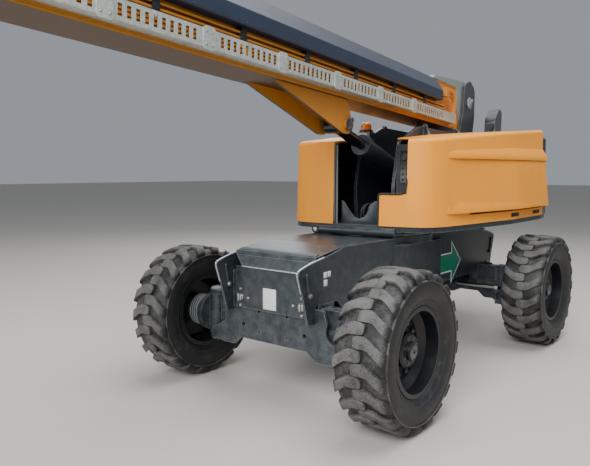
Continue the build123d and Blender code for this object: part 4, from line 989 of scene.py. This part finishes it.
# wear-pad screws round the boom's mouth and the first fly section's: (end, half width, low, high, top too)
mouths = {"boom": (6.820, 0.172, -0.324, 0.128, False), "fly_1": (7.060, 0.140, -0.292, 0.108, True)}
across, rises = (-0.10, -0.04, 0.04, 0.10), (0.10, 0.24, 0.34)
for body, (end, half, low, high, topToo) in mouths.items():
    x = end - 0.030
    places = [facing((x, y, low), (0, 0, -1)) for y in across]
    if topToo:
        places += [facing((x, y, high), (0, 0, 1)) for y in across]
    places += [facing((x, -half, low + rise), (0, -1, 0)) for rise in rises]
    dressed(copied(bolt(0.008, 0.006, 0.012), places), body + "_mouth_screws", body, boltZinc,
            boomFrame)

# weld seams along the boom's lower and upper corners
seam = {"rear": 0.36, "front": 6.74, "side": 0.1605, "levels": (-0.296, 0.112), "radius": 0.0035}
stations = (seam["rear"], (seam["rear"] + seam["front"]) / 2, seam["front"])
seams = [hose([(x, side * seam["side"], z) for x in stations], seam["radius"], 8)
         for side in (-1, 1) for z in seam["levels"]]
dressed(joined(seams), "boom_weld_seams", "boom", boomPaint, boomFrame)
print("boom pieces made")

# raised bars on the platform's floor sheet, turned one way and the other
platformFrame = Matrix.Translation(joints["platform_turn"]["pos_m"]) @ Matrix.Rotation(slewTurn, 4, "Z")
floorBars = {"top": -0.7902, "rear": 0.175, "front": 1.035, "half": 1.110, "pitch": 0.078, "height": 0.0016}
bar = sheetOf([(-0.017, 0), (-0.010, -0.0035), (0.010, -0.0035), (0.017, 0), (0.010, 0.0035),
               (-0.010, 0.0035)], floorBars["height"])
places = []
for row in range(int((floorBars["front"] - floorBars["rear"]) / floorBars["pitch"])):
    for column in range(int(2 * floorBars["half"] / floorBars["pitch"])):
        x = floorBars["rear"] + floorBars["pitch"] * (row + 0.5)
        y = -floorBars["half"] + floorBars["pitch"] * (column + 0.5)
        turn = math.radians(45 if (row + column) % 2 else -45)
        places.append(Matrix.Translation((x, y, floorBars["top"])) @ Matrix.Rotation(turn, 4, "Z"))
dressed(copied(bar, places), "floor_tread_bars", "platform", zinc, platformFrame)

# controls on the console's top, which slopes from its ridge down to the operator
console = {"x": 0.150, "ridge": (0.060, 0.330), "front": (0.250, 0.250), "plate": (0.530, 0.176),
           "sticks": (-0.190, 0.190), "switches": 6, "switchFirst": -0.105, "switchPitch": 0.035,
           "rows": (-0.045, 0.010), "stop": (0.105, 0.055, 0)}
(ridgeX, ridgeZ), (frontX, frontZ) = console["ridge"], console["front"]
middle = (console["x"] + (ridgeX + frontX) / 2, 0, (ridgeZ + frontZ) / 2 - 0.0003)
consoleTop = platformFrame @ onWall(middle, (0, 1, 0), (ridgeX - frontX, 0, ridgeZ - frontZ))
dressed(plateOf(*console["plate"], 0.004, 0.0012), "console_plate", "platform", castPaint,
        consoleTop)
stick = joined([lathe([(0.003, 0.034), (0.007, 0.034), (0.020, 0.022), (0.026, 0.012)], sides=28),
                lathe([(0.022, 0.006), (0.060, 0.006), (0.066, 0.015), (0.092, 0.018), (0.104, 0.012)],
                      sides=20)])
sticks = copied(stick, [Matrix.Translation((x, 0.005, 0)) for x in console["sticks"]])
places = [Matrix.Translation((console["switchFirst"] + console["switchPitch"] * index, y, 0))
          for index in range(console["switches"]) for y in console["rows"]]
toggles = copied(toggleSwitch(0.003, 0.008), places)
dressed(joined([sticks, toggles]), "console_sticks_and_switches", "platform", blackCover,
        consoleTop)
stop = lathe([(0.003, 0.014), (0.016, 0.014), (0.0162, 0.024), (0.024, 0.024), (0.030, 0.018),
              (0.032, 0.006)], sides=28)
dressed(settle(stop, Matrix.Translation(console["stop"])), "console_stop", "platform", redPlastic,
        consoleTop)

# foot switch: a pedal inside its guard on the platform's floor
footSwitch = {"half": 0.085, "rear": 0.300, "floor": -0.790, "roof": -0.700, "pedal": (0.328, 0, -0.745),
              "tilt": 0.16}
rear, half, floorZ, roof = (footSwitch[key] for key in ("rear", "half", "floor", "roof"))
pedal = settle(sheetOf([(0.0, -0.060), (0.130, -0.060), (0.130, 0.060), (0.0, 0.060)], 0.008, 0.002),
               Matrix.Translation(footSwitch["pedal"]) @ Matrix.Rotation(footSwitch["tilt"], 4, "Y"))
parts = [slab((rear, -half, floorZ), (rear + 0.170, half, floorZ + 0.015), 0.003),
         slab((rear, -half, floorZ + 0.010), (rear + 0.012, half, roof), 0.003),
         slab((rear, -half, roof - 0.012), (rear + 0.140, half, roof), 0.003), pedal]
dressed(joined(parts), "foot_switch", "platform", blackCover, platformFrame)
print("platform pieces made")

# the photograph's camera, placed from the slewing axis
camera = {"place": (4.925, 3.005, 1.697), "yaw": 219.206, "pitch": -5.634, "roll": 0.008, "lens": 38.14,
          "sensor": 36, "clip": (0.05, 300)}
atSlew = Vector((slewAxis.x, slewAxis.y, 0))
yaw, pitch = math.radians(camera["yaw"]), math.radians(camera["pitch"])
ahead = Vector((math.cos(pitch) * math.cos(yaw), math.cos(pitch) * math.sin(yaw), math.sin(pitch)))
side = Vector((math.sin(yaw), -math.cos(yaw), 0))
axes = Matrix((side, side.cross(ahead), -ahead)).transposed().to_4x4()
view = bpy.data.cameras.new("camera")
view.sensor_width, view.lens = camera["sensor"], camera["lens"]
view.clip_start, view.clip_end = camera["clip"]
cameraObject = bpy.data.objects.new("camera", view)
bpy.context.scene.collection.objects.link(cameraObject)
cameraObject.matrix_world = (Matrix.Translation(Vector(camera["place"]) + atSlew) @ axes
                             @ Matrix.Rotation(math.radians(camera["roll"]), 4, "Z"))
bpy.context.scene.camera = cameraObject

# plain pale floor
studio = {"floor": 160, "below": -0.001, "paper": "#bdb8b0", "sky": "#dfe7f0", "skyStrength": 0.42}
bpy.ops.mesh.primitive_plane_add(size=studio["floor"], location=(0, 0, studio["below"]))
floor = bpy.context.object
floor.name = "studio_floor"
paper, tree, shader, place = newMaterial("pale_studio_paper")
shader.inputs["Base Color"].default_value = hexColour(studio["paper"])
shader.inputs["Roughness"].default_value = 0.9
floor.data.materials.append(paper)
floor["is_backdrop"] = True

# soft studio light: a name, a place from the slewing axis, a size and a power in watts
lamps = (("key_light", (9.5, 3.5, 6.5), 5.0, 1250), ("top_light", (-1.0, 1.5, 9.0), 8.0, 1000),
         ("fill_light", (8.5, -4.5, 3.6), 4.0, 240), ("back_light", (-7.0, -6.0, 6.0), 5.0, 250))
world = bpy.data.worlds.new("studio")
bpy.context.scene.world = world
world.use_nodes = True
sky = world.node_tree.nodes["Background"]
sky.inputs[0].default_value = hexColour(studio["sky"])
sky.inputs[1].default_value = studio["skyStrength"]
aim = Vector((slewAxis.x, slewAxis.y, 1))
for name, place, size, power in lamps:
    lamp = bpy.data.lights.new(name, "AREA")
    lamp.size, lamp.energy = size, power
    lampObject = bpy.data.objects.new(name, lamp)
    bpy.context.scene.collection.objects.link(lampObject)
    lampObject.location = Vector(place) + atSlew
    lampObject.rotation_euler = (aim - lampObject.location).to_track_quat("-Z", "Y").to_euler()
print("camera and light placed")

low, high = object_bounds()
